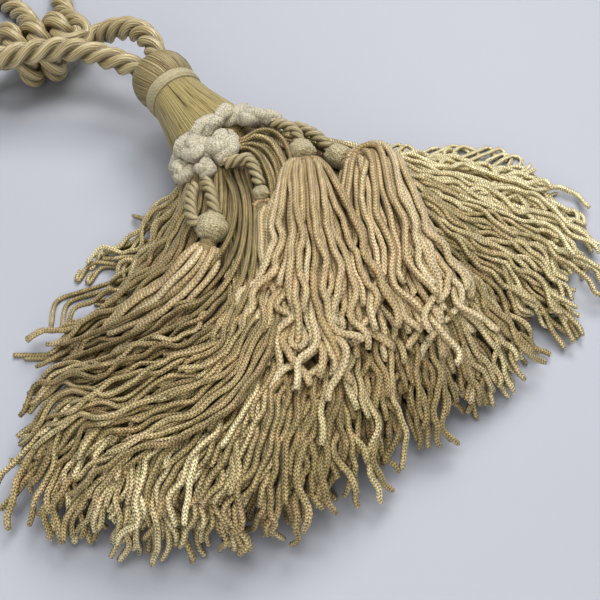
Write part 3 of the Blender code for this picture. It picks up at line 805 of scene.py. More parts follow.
@dataclass
class Head:
    """The turned and wound head: dome, braided collar and fluted cone."""

    steps: int = 180
    collar_steps: int = 240
    bore_r: float = 10.3
    spigot_r: float = 10.0
    spigot_end: float = 7.5
    cone_end: float = 47.0
    foot_r: float = 17.2
    flutes: int = 75
    flute_depth: float = 0.005
    dome: tuple[tuple[float, float], ...] = (
        (-23, 10.5), (-23.8, 11.3), (-22.9, 12.9), (-20.8, 14.5), (-17.6, 15.6), (-13.6, 15.9),
        (-9.8, 15.2), (-6.8, 13.8))
    cone: tuple[tuple[float, float], ...] = ((0, 13.8), (12, 16), (25, 19.3), (35.4, 21.9))
    collar: tuple[tuple[float, float], ...] = (
        (-6.7, 13.2), (-6.7, 14), (-6.3, 14.6), (-5.2, 15), (-3.6, 15.15), (-2.2, 15), (-1.4, 14.6),
        (-1.15, 14.1), (-0.95, 14.5), (-0.6, 14.65), (-0.25, 14.4), (-0.1, 13.9), (-0.1, 13.2),
        (-6.7, 13.2))
    cup: float = -18.6

    def rounded(self, profile: Sequence, step: float) -> list[tuple[float, float]]:
        """Return a profile read through a smooth curve."""
        fine = smooth_route([(s, r, 0.0) for s, r in profile], step)
        return [(float(p[0]), float(p[1])) for p in fine]

    def build_dome(self) -> bpy.types.Object:
        """Build the dome: slanting thread over a turned ball, with the cup that takes the rope."""
        profile = [(self.cup, 0.0), (self.cup, self.bore_r), *self.rounded(self.dome, 0.7),
                   (-7.2, self.spigot_r), (self.spigot_end, self.spigot_r), (self.spigot_end, 0.0)]
        bundles, lift, lean, inside = 64, 0.006, 0.03, 12

        def relief(angle: float, s: float, r: float) -> float:
            """Raise the wound threads a little on the outside."""
            return r * (1 + lift * math.cos(bundles * (angle + lean * s))) if r > inside else r

        finish = WoundFinish("dome_rayon_thread_wound", 0.5, dark="#5C4E34", middle="#8A7B5A",
                             light="#B1A47E", threads=105.0, lean=0.35, gaps=0.30, relief=0.6)
        mesh = placed(spun(profile, self.steps, relief), "dome", DATUM.head_matrix())
        return new_object("dome", mesh, finish.build(), ["head_dome"])

    def build_collar(self) -> bpy.types.Object:
        """Build the collar: a soft flat braid round the neck, with a fine cord along its edge."""
        bundles, lift, middle, inside = 48, 0.004, 3.6, 14.5

        def relief(angle: float, s: float, r: float) -> float:
            """Raise the braid's bundles a little."""
            raised = 1 + lift * math.cos(bundles * angle + 1.5 * abs(s + middle))
            return r * raised if r > inside else r

        finish = BraidFinish("collar_braid_rayon", 0.5)
        mesh = placed(spun(self.collar, self.collar_steps, relief), "collar", DATUM.head_matrix())
        return new_object("collar", mesh, finish.build(), ["head_collar"])

    def build_cone(self) -> bpy.types.Object:
        """Build the cone: lengthwise thread over a mould with shallow flutes."""
        floor = self.spigot_end + 0.3
        profile = [(floor, 0.0), (floor, self.bore_r), (-0.05, self.bore_r),
                   *self.rounded(self.cone, 1.0), (35.8, self.foot_r),
                   (self.cone_end, self.foot_r), (self.cone_end, 0.0)]

        def relief(angle: float, s: float, r: float) -> float:
            """Sink the gaps between the bundles of thread."""
            if r < 13 or s > 35.7:
                return r
            wander = 0.35 * math.sin(3 * angle + 0.05 * s)
            return r * (1 + self.flute_depth * math.cos(self.flutes * angle + wander)
                        + 0.004 * math.cos(23 * angle - 1.0))

        finish = WoundFinish("cone_rayon_thread_laid", 0.45, dark="#6E5F3A", middle="#AA9B6C",
                             light="#BDB184", threads=170.0, lean=0.02, gaps=0.35, relief=0.45)
        mesh = placed(spun(profile, 2 * self.steps, relief), "cone", DATUM.head_matrix())
        return new_object("cone", mesh, finish.build(), ["head_cone"])

    def build(self) -> None:
        """Build the three pieces of the head."""
        self.build_dome()
        self.build_collar()
        self.build_cone()


# ---------------------------------------------------------------- boucle trim


@dataclass
class BoucleTrim:
    """The boucle gimp round the cone's foot, its swag over the skirt, and the knobs beside it."""

    ring_s: float = 41.3
    ring_r: float = 22.6
    cord_r: float = 3.6
    lap: float = 2.1
    laps: int = 6
    sides: int = 24
    swag_r: float = 2.9
    swag_lap: float = 1.6
    swag_pitch: float = 17.0
    swag: tuple[Triple, ...] = ((5, -15.2, 52.7), (12, -16, 51.9), (19, -17.8, 49), (25, -22, 45.4))
    knobs: tuple[tuple[str, float, float, float, float, float], ...] = (
        ("knob_front", -9.2, -24.6, 51.6, 8.8, 10.5),
        ("knob_side", -19, -18.6, 49.6, 7.8, 10),
        ("knob_left", -27.4, -19.8, 42.6, 7, 9.5),
        ("knob_low", -22.6, -30.8, 50.2, 5, 8))

    def fluff(self, mesh: bpy.types.Mesh, depth: float) -> None:
        """Push a mesh's surface out and in by small soft lumps of a depth in millimetres."""
        x, y, _ = DATUM.shift()
        for vert in mesh.vertices:
            point = vert.co / MM - Vector((x, y, 0))
            lump = noise.noise(point / 3.2) + 0.6 * noise.noise(point / 1.2)
            vert.co += vert.normal * (depth * lump * MM)
            vert.co.z = max(vert.co.z, 0.0)
        mesh.update()

    def build_ring(self, finish: bpy.types.Material) -> None:
        """Build the gimp ring: two soft knitted cords that lap over each other round the foot."""
        tubes = TubeSet(self.sides)
        matrix = DATUM.head_matrix()
        count = 420
        turn = TAU * np.arange(count) / count
        for side in (0.0, math.pi):
            lap = self.laps * turn + side
            swell = self.cord_r * (1 + 0.12 * np.cos(11 * turn + side) + 0.06 * np.sin(23 * turn))
            out = [self.ring_r + self.lap * math.cos(w) for w in lap]
            line = [matrix @ Vector((r * math.cos(a), r * math.sin(a),
                                     self.ring_s + self.lap * math.sin(w)))
                    for r, a, w in zip(out, turn, lap)]
            tubes.add(np.array(line), swell, seam=Seam.RING)
        mesh = tubes.build("gimp_ring")
        self.fluff(mesh, 0.7)
        new_object("gimp_ring", mesh, finish, ["ruff_cord"])

    def build_swag(self, finish: bpy.types.Material) -> None:
        """Build the length of gimp laid over the skirt's root."""
        tubes = TubeSet(self.sides)
        step, rounding = 0.5, 3.0
        line = smooth_route(self.swag, step)
        run = np.arange(len(line)) * step
        normals, binormals = side_frames(line)
        for side in (0.0, math.pi):
            lap = TAU * run / self.swag_pitch + side
            path = line + self.swag_lap * (normals * np.cos(lap)[:, None]
                                           + binormals * np.sin(lap)[:, None])
            ends = np.minimum(run, run[::-1])
            round_off = np.sqrt(np.clip(1 - (1 - np.clip(ends / rounding, 0, 1)) ** 2, 0.02, 1))
            tubes.add(path, self.swag_r * round_off)
        mesh = tubes.build("gimp_swag")
        self.fluff(mesh, 0.5)
        new_object("gimp_swag", mesh, finish, ["swag_cord"])

    def knot(self, tubes: TubeSet, centre: Sequence[float], radius: float, height: float,
             start: float) -> None:
        """Add a rosette: the gimp knotted over itself in three lobes that close its middle."""
        count = 150
        turn = TAU * np.arange(count) / count
        out = radius * (0.40 + 0.26 * np.cos(3 * turn + start))
        line = np.column_stack([centre[0] + out * np.cos(2 * turn + start),
                                centre[1] + out * np.sin(2 * turn + start),
                                centre[2] + height * 0.20 * np.sin(3 * turn + start)])
        tubes.add(line, radius * 0.40 * (1 + 0.08 * np.sin(5 * turn)), seam=Seam.RING)

    def build_knobs(self, finish: bpy.types.Material) -> None:
        """Build the knobs: rosettes of gimp."""
        for k, (name, x, y, z, radius, height) in enumerate(self.knobs):
            tubes = TubeSet(self.sides)
            self.knot(tubes, (x, y, z), radius, height, 0.9 + 2.1 * k)
            mesh = tubes.build(f"gimp_{name}")
            self.fluff(mesh, 0.6)
            new_object(f"gimp_{name}", mesh, finish, [name])

    def build(self) -> None:
        """Build the whole trim in one finish."""
        finish = GimpFinish("gimp_cord_knitted", 0.7, sheen=0.4, specular=0.35).build()
        self.build_ring(finish)
        self.build_swag(finish)
        self.build_knobs(finish)


# ---------------------------------------------------------------- chainette skirts


@dataclass
class Strand:
    """One length of chainette: its evenly spaced points, its yarn, its shade and its piece.

    A held strand stays where it is laid.
    """

    points: np.ndarray
    yarn: Yarn
    tone: float
    piece: str
    held: bool = False


@dataclass(frozen=True)
class Lock:
    """A lock of strands that runs along one guide, in millimetres.

    root, middle and tip are its half widths and rise its half thickness at its middle.  curl is how
    far its strands wave and wave stretches the length of their waves.  short is the greatest share
    by which a strand falls short of the guide.  tone is the strands' mean tone from 0 to 1, which
    holds their own colour and painted light and shade, and mottle the spread between them.  stray
    is the spread in degrees by which loose ends bend aside, and swell the share of the guide where
    the middle width is reached.
    """

    piece: str
    count: int
    guide: Sequence[Triple]
    root: float = 4.0
    middle: float = 9.0
    tip: float = 22.0
    rise: float = 4.0
    curl: float = 3.0
    short: float = 0.16
    tone: float = 0.45
    yarn: Yarn = Yarn.KHAKI
    stray: float = 18.0
    swell: float = 0.35
    wave: float = 1.0
    mottle: float = 0.09

    @staticmethod
    def turned(path: np.ndarray, share: np.ndarray, angle: float, start: float) -> np.ndarray:
        """Bend a strand's loose end aside by an angle that grows from a share of its length."""
        swing = angle * np.clip((share[1:] - start) / (1 - start), 0, 1) ** 1.3
        x, y, z = np.diff(path, axis=0).T
        bent = np.column_stack([x * np.cos(swing) - y * np.sin(swing),
                                x * np.sin(swing) + y * np.cos(swing), z])
        return np.vstack([path[:1], path[0] + np.cumsum(bent, axis=0)])

    def strands(self, rng: np.random.Generator, spacing: float) -> list[Strand]:
        """Lay the lock's strands side by side along its guide.

        Args:
            rng: the source of the small differences between strands.
            spacing: the distance between two points of a strand.
        Returns:
            The strands, before they are settled.
        """
        line = smooth_route(self.guide, spacing)
        run = np.arange(len(line)) * spacing
        share = run / run[-1]
        tangent = np.gradient(line, axis=0)
        across = np.column_stack([-tangent[:, 1], tangent[:, 0], np.zeros(len(line))])
        across /= np.maximum(np.linalg.norm(across, axis=1, keepdims=True), 1e-6)
        for _ in range(3):
            across[1:-1] = (across[:-2] + across[1:-1] * 2 + across[2:]) / 4
        across /= np.linalg.norm(across, axis=1, keepdims=True)
        width = np.interp(share, [0, self.swell, 1], [self.root, self.middle, self.tip])
        rise = np.interp(share, [0, 0.2, 0.7, 1], [self.rise * 0.45, self.rise, self.rise, 4.0])
        loose = np.clip((share - 0.18) / 0.82, 0, 1)
        # each wave's reach, length, phase, and how late along the strand it grows
        clumps = [(self.curl * rng.uniform(0.5, 1.2), self.wave * rng.uniform(28, 50),
                   rng.uniform(0, TAU), 1.2 / self.wave)
                  for _ in range(max(1, round(self.count / 4)))]
        out = []
        for i in range(self.count):
            place = 2 * (i + 0.5) / self.count - 1 + rng.normal(0, 0.05)
            layer = ((i * 0.618) % 1.0) * 2 - 1
            path = line + across * (width * place)[:, None]
            path[:, 2] += rise * layer
            waves = [clumps[i * len(clumps) // self.count]]
            for reach, length, grow in (((0.2, 0.6), (16, 30), 1.1), ((0.08, 0.26), (9, 15), 0.9)):
                waves.append((self.curl * rng.uniform(*reach), rng.uniform(*length),
                              rng.uniform(0, TAU), grow))
            for reach, length, phase, grow in waves:
                sway = reach * loose ** grow * np.sin(TAU * run / length + phase)
                path += across * sway[:, None]
                path[:, 2] += 0.5 * sway * math.cos(phase)
            angle = math.radians(rng.normal(0, self.stray))
            path = self.turned(path, share, angle, rng.uniform(0.55, 0.8))
            keep = max(6, int(len(path) * (1 - self.short * rng.uniform(0, 1) ** 1.5)))
            tone = float(np.clip(self.tone + rng.normal(0, self.mottle), 0, 1))
            out.append(Strand(path[:keep], self.yarn, tone, self.piece))
        return out


@dataclass
class Pile:
    """Settles strands on the table and on each other, keeping each near where it was laid.

    A strand is thin at its root, where many meet, and grows to its full thickness over
    thin_skirt or thin_tassel millimetres.
    """

    spacing: float = 3.4
    rounds: int = 52
    reach: float = 3.6
    search_every: int = 4
    clear_every: int = 2
    sharing: float = 0.55
    root_share: float = 0.25
    thin_skirt: float = 40.0
    thin_tassel: float = 15.0
    weight: float = 0.05
    memory: float = 0.03
    height_memory: float = 0.02
    stiffness: float = 0.25
    core: Triple = (0.0, -9.0, 27.0)
    core_r: float = 19.5

    def pairs(self, points: np.ndarray, strand: np.ndarray, order: np.ndarray) -> np.ndarray:
        """Return the pairs of points within reach that aren't neighbours on one strand."""
        cell = np.floor(points / self.reach).astype(np.int64)
        cell -= cell.min(axis=0) - 1
        size = cell.max(axis=0) + 2
        key = (cell[:, 0] * size[1] + cell[:, 1]) * size[2] + cell[:, 2]
        rank = np.argsort(key, kind="stable")
        sorted_key = key[rank]
        found = []
        for x, y, z in (step for step in product((-1, 0, 1), repeat=3) if step >= (0, 0, 0)):
            want = key + (x * size[1] + y) * size[2] + z
            low = np.searchsorted(sorted_key, want, "left")
            high = np.searchsorted(sorted_key, want, "right")
            number = high - low
            first = np.repeat(np.arange(len(points)), number)
            offset = np.arange(len(first)) - np.repeat(np.cumsum(number) - number, number)
            second = rank[np.repeat(low, number) + offset]
            keep = first < second if (x, y, z) == (0, 0, 0) else first != second
            found.append(np.column_stack([first[keep], second[keep]]))
        both = np.vstack(found)
        gap = points[both[:, 0]] - points[both[:, 1]]
        close = np.einsum("ij,ij->i", gap, gap) < self.reach * self.reach
        same = strand[both[:, 0]] == strand[both[:, 1]]
        beside = abs(order[both[:, 0]] - order[both[:, 1]]) < 3
        return both[close & ~(same & beside)]

    def clear(self, flat: np.ndarray, which: np.ndarray, radius: np.ndarray,
              balls: np.ndarray) -> None:
        """Push strand points down and away from the balls (x, y, z, radius) that lie on them."""
        low, high = balls[:, :3].min(axis=0) - 10, balls[:, :3].max(axis=0) + 10
        near = np.flatnonzero(which & (flat > low).all(axis=1) & (flat < high).all(axis=1))
        gap = flat[near, None, :] - balls[None, :, :3]
        size = np.maximum(np.sqrt(np.einsum("ijk,ijk->ij", gap, gap)), 1e-6)
        over = balls[None, :, 3] + radius[near, None] - size
        worst = over.argmax(axis=1)
        rows = np.arange(len(near))
        depth = np.maximum(over[rows, worst], 0.0)
        away = gap[rows, worst] / size[rows, worst][:, None] - np.array((0.0, 0.0, 1.2))
        away /= np.linalg.norm(away, axis=1, keepdims=True)
        flat[near] += away * depth[:, None]

    def hold_length(self, x: np.ndarray, rest: np.ndarray, link: np.ndarray,
                    mobile: np.ndarray) -> None:
        """Draw the neighbours on each strand back to their resting distance, in place."""
        for parity in (0, 1):
            a, b = x[:, parity:-1:2], x[:, parity + 1::2]
            m = min(a.shape[1], b.shape[1])
            a, b = a[:, :m], b[:, :m]
            wanted, on = rest[:, parity::2][:, :m], link[:, parity::2][:, :m]
            ma, mb = mobile[:, parity:-1:2][:, :m], mobile[:, parity + 1::2][:, :m]
            gap = b - a
            size = np.maximum(np.linalg.norm(gap, axis=2), 1e-9)
            fix = gap * ((size - wanted) / size * on)[..., None]
            a += fix * np.where(ma & mb, 0.5, np.where(ma, 1.0, 0.0))[..., None]
            b -= fix * np.where(ma & mb, 0.5, np.where(mb, 1.0, 0.0))[..., None]

    def part(self, flat: np.ndarray, both: np.ndarray, radius: np.ndarray) -> np.ndarray:
        """Return the points, moved apart where two strands touch and out of the head's core."""
        i, j = both[:, 0], both[:, 1]
        gap = flat[i] - flat[j]
        size = np.maximum(np.linalg.norm(gap, axis=1), 1e-6)
        over = radius[i] + radius[j] - size
        hit = over > 0
        i, j = i[hit], j[hit]
        push = gap[hit] * (over[hit] / size[hit] * 0.5)[:, None]
        count = np.bincount(i, minlength=len(flat)) + np.bincount(j, minlength=len(flat))
        move = np.column_stack([np.bincount(i, push[:, k], len(flat))
                                - np.bincount(j, push[:, k], len(flat)) for k in range(3)])
        flat = flat + move / np.maximum(1.0, count * self.sharing)[:, None]
        away = flat - np.array(self.core)
        far = np.maximum(np.linalg.norm(away, axis=1), 1e-6)
        inside = np.maximum(0.0, self.core_r - far)
        return flat + away / far[:, None] * inside[:, None]

    def settle(self, strands: list[Strand], balls: np.ndarray) -> None:
        """Settle the strands in place, under the balls (x, y, z, radius) that lie on them."""
        n, most = len(strands), max(len(s.points) for s in strands)
        x = np.zeros((n, most, 3))
        valid = np.zeros((n, most), bool)
        for i, s in enumerate(strands):
            x[i, :len(s.points)] = s.points
            valid[i, :len(s.points)] = True
        start = x.copy()
        rest = np.linalg.norm(np.diff(x, axis=1), axis=2)
        link = valid[:, 1:] & valid[:, :-1]
        mobile = valid.copy()
        mobile[:, :2] = False
        mobile[[s.held for s in strands]] = False
        radius = np.array([s.yarn.value / 2 for s in strands])[:, None] * np.ones(most)
        cream = np.array([s.yarn is Yarn.CREAM for s in strands])[:, None]
        thin = np.where(cream, self.thin_tassel, self.thin_skirt)
        shrink = np.clip(self.root_share + np.arange(most) * self.spacing / thin, 0, 1)
        index = np.flatnonzero(valid)
        strand, order = index // most, index % most
        under = np.repeat(~cream[:, 0], most)[index]
        r_soft = (radius * shrink).ravel()[index]
        r_floor = radius.ravel()[index]
        curve = start.copy()
        curve[:, 1:-1] = start[:, 1:-1] - (start[:, :-2] + start[:, 2:]) / 2
        inner = valid[:, 1:-1] & valid[:, 2:] & mobile[:, 1:-1]
        memory = np.array([self.memory, self.memory, self.height_memory])
        both = None
        for step in range(self.rounds):
            x[..., 2] -= np.where(mobile, self.weight, 0)
            x += np.where(mobile[..., None], (start - x) * memory, 0)
            bend = (x[:, :-2] + x[:, 2:]) / 2 + curve[:, 1:-1] - x[:, 1:-1]
            x[:, 1:-1] += np.where(inner[..., None], bend * self.stiffness, 0)
            self.hold_length(x, rest, link, mobile)
            flat = x.reshape(-1, 3)[index]
            if step % self.search_every == 0:
                both = self.pairs(flat, strand, order)
            flat = self.part(flat, both, r_soft)
            if step % self.clear_every == 0:
                self.clear(flat, under, r_floor, balls)
            flat[:, 2] = np.maximum(flat[:, 2], r_floor)
            moved = x.reshape(-1, 3).copy()
            moved[index] = flat
            x = np.where(mobile[..., None], moved.reshape(x.shape), x)
        LOG.info("settled %d strands, %d points, %d pairs", n, len(index), len(both))
        for i, s in enumerate(strands):
            s.points = x[i, :len(s.points)]


# The bound neck of each small tassel: its place in the drawing, and its radius.
NECKS = {"a": (13.8, -54.2, 50, 5.2), "b": (31.8, -63.4, 46.4, 5.2), "c": (-44.6, -67.2, 45.8, 4.8),
         "d": (-15.6, -64.4, 47.2, 3.8)}


@dataclass
class Skirts:
    """The main skirt's locks and the four small tassels' skirts, all of chainette.

    left_end is the drawing's x at which a strand that lies too far to the left is cut.
    """

    ring_s: float = 44.0
    ring_r: float = 17.5
    ring_step: float = 2.7
    sides: int = 5
    left_end: float = -163.0
    seed: int = 7
    hub_s: float = 47.6
    fan_half: float = 75.0
    fan_wrap: float = 1.25
    # the darker tone painted as shade on the hidden and held strands
    painted_shade_tone: float = 0.36
    # height, share of the edge's reach, strands, first and last bearing of a hidden layer
    under: tuple[tuple[float, float, int, float, float], ...] = (
        (1, 1, 84, -62, 71), (4, 0.93, 40, -60, 68))
    # share of the reach, height: how a hidden strand comes down to the table
    descent: tuple[tuple[float, float], ...] = ((0.32, 9), (0.55, 3.5), (0.8, 2), (1, 1.6))
    # lock, piece, turn round the head in degrees, strands, half widths at its middle and tip, curl,
    # tone, guide; the tone holds the yarn's own colour and painted light, higher on the right where
    # the light falls
    locks: tuple[tuple, ...] = (
        ("front_drop", "skirt_left", -8, 17, 6.5, 19, 2.2, 0.2, ((-14.6, -44.7, 30),
         (-25.3, -63.3, 32), (-37.5, -79.5, 38), (-50.2, -90.6, 42), (-64.7, -95.5, 44),
         (-79.8, -92.2, 35), (-97.8, -81.8, 22), (-121.1, -69.8, 9))),
        ("front_fall", "skirt_left", 0, 21, 6.5, 23, 2.4, 0.26, ((-12.6, -46.4, 30),
         (-22.3, -65.6, 31), (-34.2, -84, 36), (-46.5, -98.5, 41), (-59.9, -108.1, 42),
         (-76.1, -112.6, 34), (-93.7, -113.4, 23), (-112.4, -111, 10))),
        ("front_low", "skirt_top", 4, 38, 7, 20, 3.4, 0.4, ((-43.2, -92.8, 37),
         (-59.4, -106.2, 42), (-75.4, -110.6, 45), (-92.4, -106.8, 43), (-109.2, -98.8, 38),
         (-124.2, -90, 30), (-137.6, -84.5, 20), (-145.7, -82.2, 12))),
        ("front_end", "skirt_top", 9, 38, 7, 22, 3.4, 0.44, ((-43.2, -98, 43),
         (-58.7, -115.1, 45), (-73.6, -121.8, 44), (-90.2, -120.5, 41), (-107.1, -113.3, 36),
         (-122.9, -105.2, 28), (-138.6, -100.2, 18), (-149.5, -98.6, 9))),
        ("left_sweep", "skirt_left", -30, 38, 9, 22, 3.2, 0.42, ((-29, -45.8, 43),
         (-42.5, -57.7, 39), (-56, -64.7, 34), (-72, -66.2, 27), (-91.8, -64.1, 19),
         (-111.1, -61.7, 11), (-127.8, -59.9, 6))),
        ("left_over", "skirt_left", -50, 32, 8, 16, 5, 0.48, ((-32.8, -40.6, 39),
         (-47.5, -48.7, 32), (-60.9, -53, 25), (-76.8, -53.5, 17), (-92.3, -52, 10),
         (-108.3, -52.8, 5))),
        ("left_loose", "skirt_left", -68, 26, 7, 15, 8, 0.58, ((-31.7, -30.4, 33),
         (-43.9, -33.6, 25), (-55.3, -36.6, 16), (-65.9, -38.7, 9), (-78, -40.6, 5),
         (-89.1, -41.6, 3))),
        ("left_stray", "skirt_left", -90, 12, 7, 15, 9.5, 0.64, ((-30, -18, 26), (-43, -17, 18),
         (-56, -20, 10), (-70, -22, 6), (-82, -24, 4))),
        ("right_sweep", "skirt_right", 62, 36, 9, 24, 4.6, 0.48, ((35.9, -60.8, 41),
         (41.1, -89.5, 37), (47.5, -114, 30), (55.3, -137.1, 21), (60.6, -159.2, 12),
         (61.4, -176.4, 5))),
        ("right_over", "skirt_right", 75, 36, 9, 22, 5.6, 0.66, ((39.2, -56.6, 39),
         (50.3, -82.2, 36), (61.7, -104.8, 30), (75.5, -125.3, 21), (87.6, -148.1, 11),
         (89.5, -167.4, 5))),
        ("right_mid", "skirt_right", 82, 34, 8, 20, 6.6, 0.84, ((41, -52.9, 37),
         (55.8, -75.8, 34), (71.5, -94.2, 29), (89, -111.6, 20), (104.9, -131.4, 11),
         (109.5, -151.2, 5))),
        ("right_back", "skirt_right", 90, 32, 8, 17, 7.6, 0.92, ((43.2, -50.2, 34),
         (59.7, -69.3, 31), (78.4, -83.5, 26), (99.9, -97.5, 17), (115.8, -114.4, 9),
         (122.7, -132.4, 5))),
        ("right_low", "skirt_right", 100, 26, 7, 13, 9, 0.95, ((44.8, -46.4, 30), (62, -61.7, 27),
         (81.3, -70.2, 20), (102.5, -77.7, 12), (118.8, -87.3, 6), (129.1, -102.4, 4))),
        ("right_stray", "skirt_right", 112, 18, 5, 9, 10, 0.97, ((46.8, -41, 26),
         (63.8, -54.5, 21), (81.5, -58.5, 14), (98.6, -60.2, 8), (114, -64, 4))))
    # piece, turn round the head, tone, guide of a lock that falls over the skirt's front edge
    falls: tuple[tuple[str, float, float, tuple[Triple, ...]], ...] = (
        ("skirt_low_left", -14, 0.42, ((-41.8, -87, 30), (-69.3, -97, 32), (-95.9, -100.2, 31),
         (-116.8, -102.2, 28), (-130.2, -108.2, 24), (-139.8, -115.2, 18), (-145.8, -121.3, 12),
         (-148, -126.8, 7))),
        ("skirt_low_left", -6, 0.5, ((-38.4, -89.4, 30), (-64.3, -104.2, 33), (-89.2, -112.5, 34),
         (-109.9, -114.8, 32), (-125.2, -121.5, 28), (-134, -128.1, 21), (-139.7, -132.6, 13),
         (-142.5, -137.1, 7))),
        ("skirt_low_left", 2, 0.56, ((-36.4, -90.8, 30), (-60.7, -111.3, 35), (-81.5, -122, 36),
         (-101.1, -127.9, 35), (-115.9, -133.9, 30), (-124.9, -140.1, 23), (-130.8, -143.9, 13),
         (-133.6, -147, 7))),
        ("skirt_low_left", 8, 0.46, ((-13, -52.9, 24), (-34.3, -92.3, 30), (-57.7, -116.9, 36),
         (-75.5, -129.5, 37), (-92.2, -137.2, 36), (-106.1, -143.6, 31), (-114.9, -148.9, 22),
         (-120, -152.4, 12), (-122.2, -154.6, 6))),
        ("skirt_low", 12, 0.42, ((-11.8, -52.7, 23), (-32.3, -93.7, 30), (-52.7, -120.5, 36),
         (-68.2, -134.6, 37), (-83, -145.5, 35), (-95.4, -152.4, 29), (-102.8, -156.7, 19),
         (-107.1, -159.6, 11), (-108.6, -161.8, 6))),
        ("skirt_low", 16, 0.38, ((-7.6, -53, 22), (-29.5, -94.8, 29), (-47.2, -123.5, 35),
         (-61.8, -141, 36), (-74.5, -152, 32), (-84.5, -158.8, 25), (-90.4, -161.6, 15),
         (-93.6, -164.4, 8))),
        ("skirt_low", 22, 0.36, ((-2.4, -55.1, 22), (-24.7, -99, 30), (-39.9, -127.9, 34),
         (-52.6, -146.1, 34), (-63.6, -157.9, 29), (-71, -164.6, 20), (-75.3, -168.8, 11),
         (-77.5, -172.4, 7))),
        ("skirt_low", 28, 0.36, ((3.3, -59.8, 24), (-18.3, -104.4, 31), (-31.9, -133.5, 34),
         (-43.3, -151.2, 32), (-51.8, -161.2, 25), (-58.4, -168.7, 16), (-62.6, -176.2, 8))),
        ("skirt_low_right", 35, 0.32, ((10.1, -66, 28), (-8.1, -107.9, 34), (-18, -134.6, 34),
         (-26.7, -150.8, 30), (-34.2, -161.4, 22), (-39.6, -169.2, 14), (-43, -176.1, 7))),
        ("skirt_low_right", 42, 0.3, ((18.2, -76.2, 32), (3.1, -110.3, 35), (-3.2, -138.3, 33),
         (-10.2, -155.3, 28), (-15.3, -165.2, 20), (-18.3, -171.4, 12), (-21.2, -176.9, 7))),
        ("skirt_low_right", 50, 0.36, ((28, -81.6, 34), (17.8, -108.4, 36), (12.5, -138.1, 34),
         (9, -154.5, 28), (7.2, -164.3, 20), (5.9, -171.9, 12), (4.5, -177.6, 7))),
        ("skirt_low_right", 58, 0.46, ((37.9, -79.6, 36), (29.5, -103.9, 37), (29.3, -134.2, 34),
         (30, -153.4, 27), (30.5, -165.3, 19), (30.5, -174, 11), (29.8, -180.4, 6))))
    fall_count: int = 34
    arc_count: int = 7
    arc_inner: tuple[Triple, ...] = (
        (-7.5, -26.5, 49.5), (-5.5, -30.6, 51.5), (-2.6, -33.8, 53), (-1, -41.8, 53.4),
        (-3, -51.8, 52.8), (-7.4, -60.7, 51), (-15.8, -72.2, 48))
    arc_outer: tuple[Triple, ...] = (
        (-3, -24, 50), (0.3, -27.3, 52), (6.7, -27.4, 53.5), (12.6, -31.8, 53),
        (12.8, -41.8, 51.6), (8.7, -52.6, 50.5), (0.2, -66.4, 48.5))
    drop_count: int = 6
    drop_inner: tuple[Triple, ...] = (
        (-13.4, -30.4, 44), (-19.4, -48, 47), (-26.1, -60.3, 48), (-34.4, -69.6, 48),
        (-44.6, -75.8, 47), (-55.6, -77.9, 44), (-68.9, -76.4, 39), (-82.9, -71.6, 33),
        (-97.1, -63.7, 24), (-111.2, -53.3, 13))
    drop_outer: tuple[Triple, ...] = (
        (-3, -37.6, 44), (-10.9, -55.5, 47), (-20.8, -72.3, 48), (-31, -87.7, 48),
        (-41.8, -101.2, 48), (-54.2, -110.4, 47), (-69.1, -113.1, 44), (-86.9, -109.8, 39),
        (-106, -101.3, 31), (-124.6, -89.3, 20))
    # piece, tone, route of one single loose strand
    strays: tuple[tuple[str, float, tuple[Triple, ...]], ...] = (
        ("skirt_right", 0.9, ((51.7, -56.7, 31), (62, -50.3, 27), (72.6, -43.8, 22),
         (80.2, -41.9, 20), (79.8, -48, 20), (72.1, -53.9, 22), (66.1, -56.9, 24))),
        ("skirt_left", 0.5, ((-30, -22, 30), (-35.9, -15.5, 20), (-43.7, -7.3, 11),
         (-47.4, 6.5, 4))),
        ("skirt_left", 0.45, ((-34, -28, 28), (-46.7, -23.3, 15), (-55.8, -13.3, 8),
         (-63.7, -9.6, 3), (-56.3, -4.4, 2))),
        ("skirt_left", 0.55, ((-40, -32, 24), (-54.7, -27.9, 13), (-67.5, -19.7, 6),
         (-78.6, -9.8, 3), (-89.6, -15.9, 2), (-84, -9.6, 2))),
        ("skirt_left", 0.5, ((-50, -38, 20), (-64.2, -35.8, 13), (-76.5, -27.5, 6),
         (-91.8, -21.1, 3), (-101.7, -20.3, 2), (-109.6, -31.9, 2))),
        ("skirt_left", 0.42, ((-76, -62, 24), (-90.6, -57.9, 14), (-107.2, -49.2, 6),
         (-117.6, -44.8, 3), (-129.5, -36.2, 2))),
        ("skirt_left", 0.5, ((-112, -88, 16), (-128.8, -87.3, 9), (-137.4, -89, 4),
         (-144.2, -88.4, 2), (-151, -82.6, 2))),
        ("skirt_right", 0.95, ((52, -52, 30), (67.9, -55.3, 22), (86.4, -53.6, 14),
         (105.5, -48.2, 7), (117.6, -47, 4), (120.8, -55.5, 3), (109.7, -61.6, 3))),
        ("skirt_right", 0.9, ((66, -62, 26), (86.6, -60.7, 16), (106.9, -58.4, 7),
         (122.1, -57.7, 4), (133, -59.3, 3), (129.2, -67.5, 2))),
        ("skirt_right", 0.95, ((78, -70, 22), (97.4, -72, 12), (115.7, -68.3, 6),
         (132.8, -65.7, 3), (137.3, -70.4, 2), (130.3, -74.7, 2))))
    edge: tuple[tuple[float, float], ...] = (
        (-80, 130), (-72, 150), (-64, 168), (-58, 174), (-52, 190), (-39, 192), (-34, 189),
        (-21, 186), (-12, 173), (-6, 164), (1, 165), (12, 174), (24, 176), (36, 183), (51, 175),
        (59, 159), (67, 139), (74, 121))
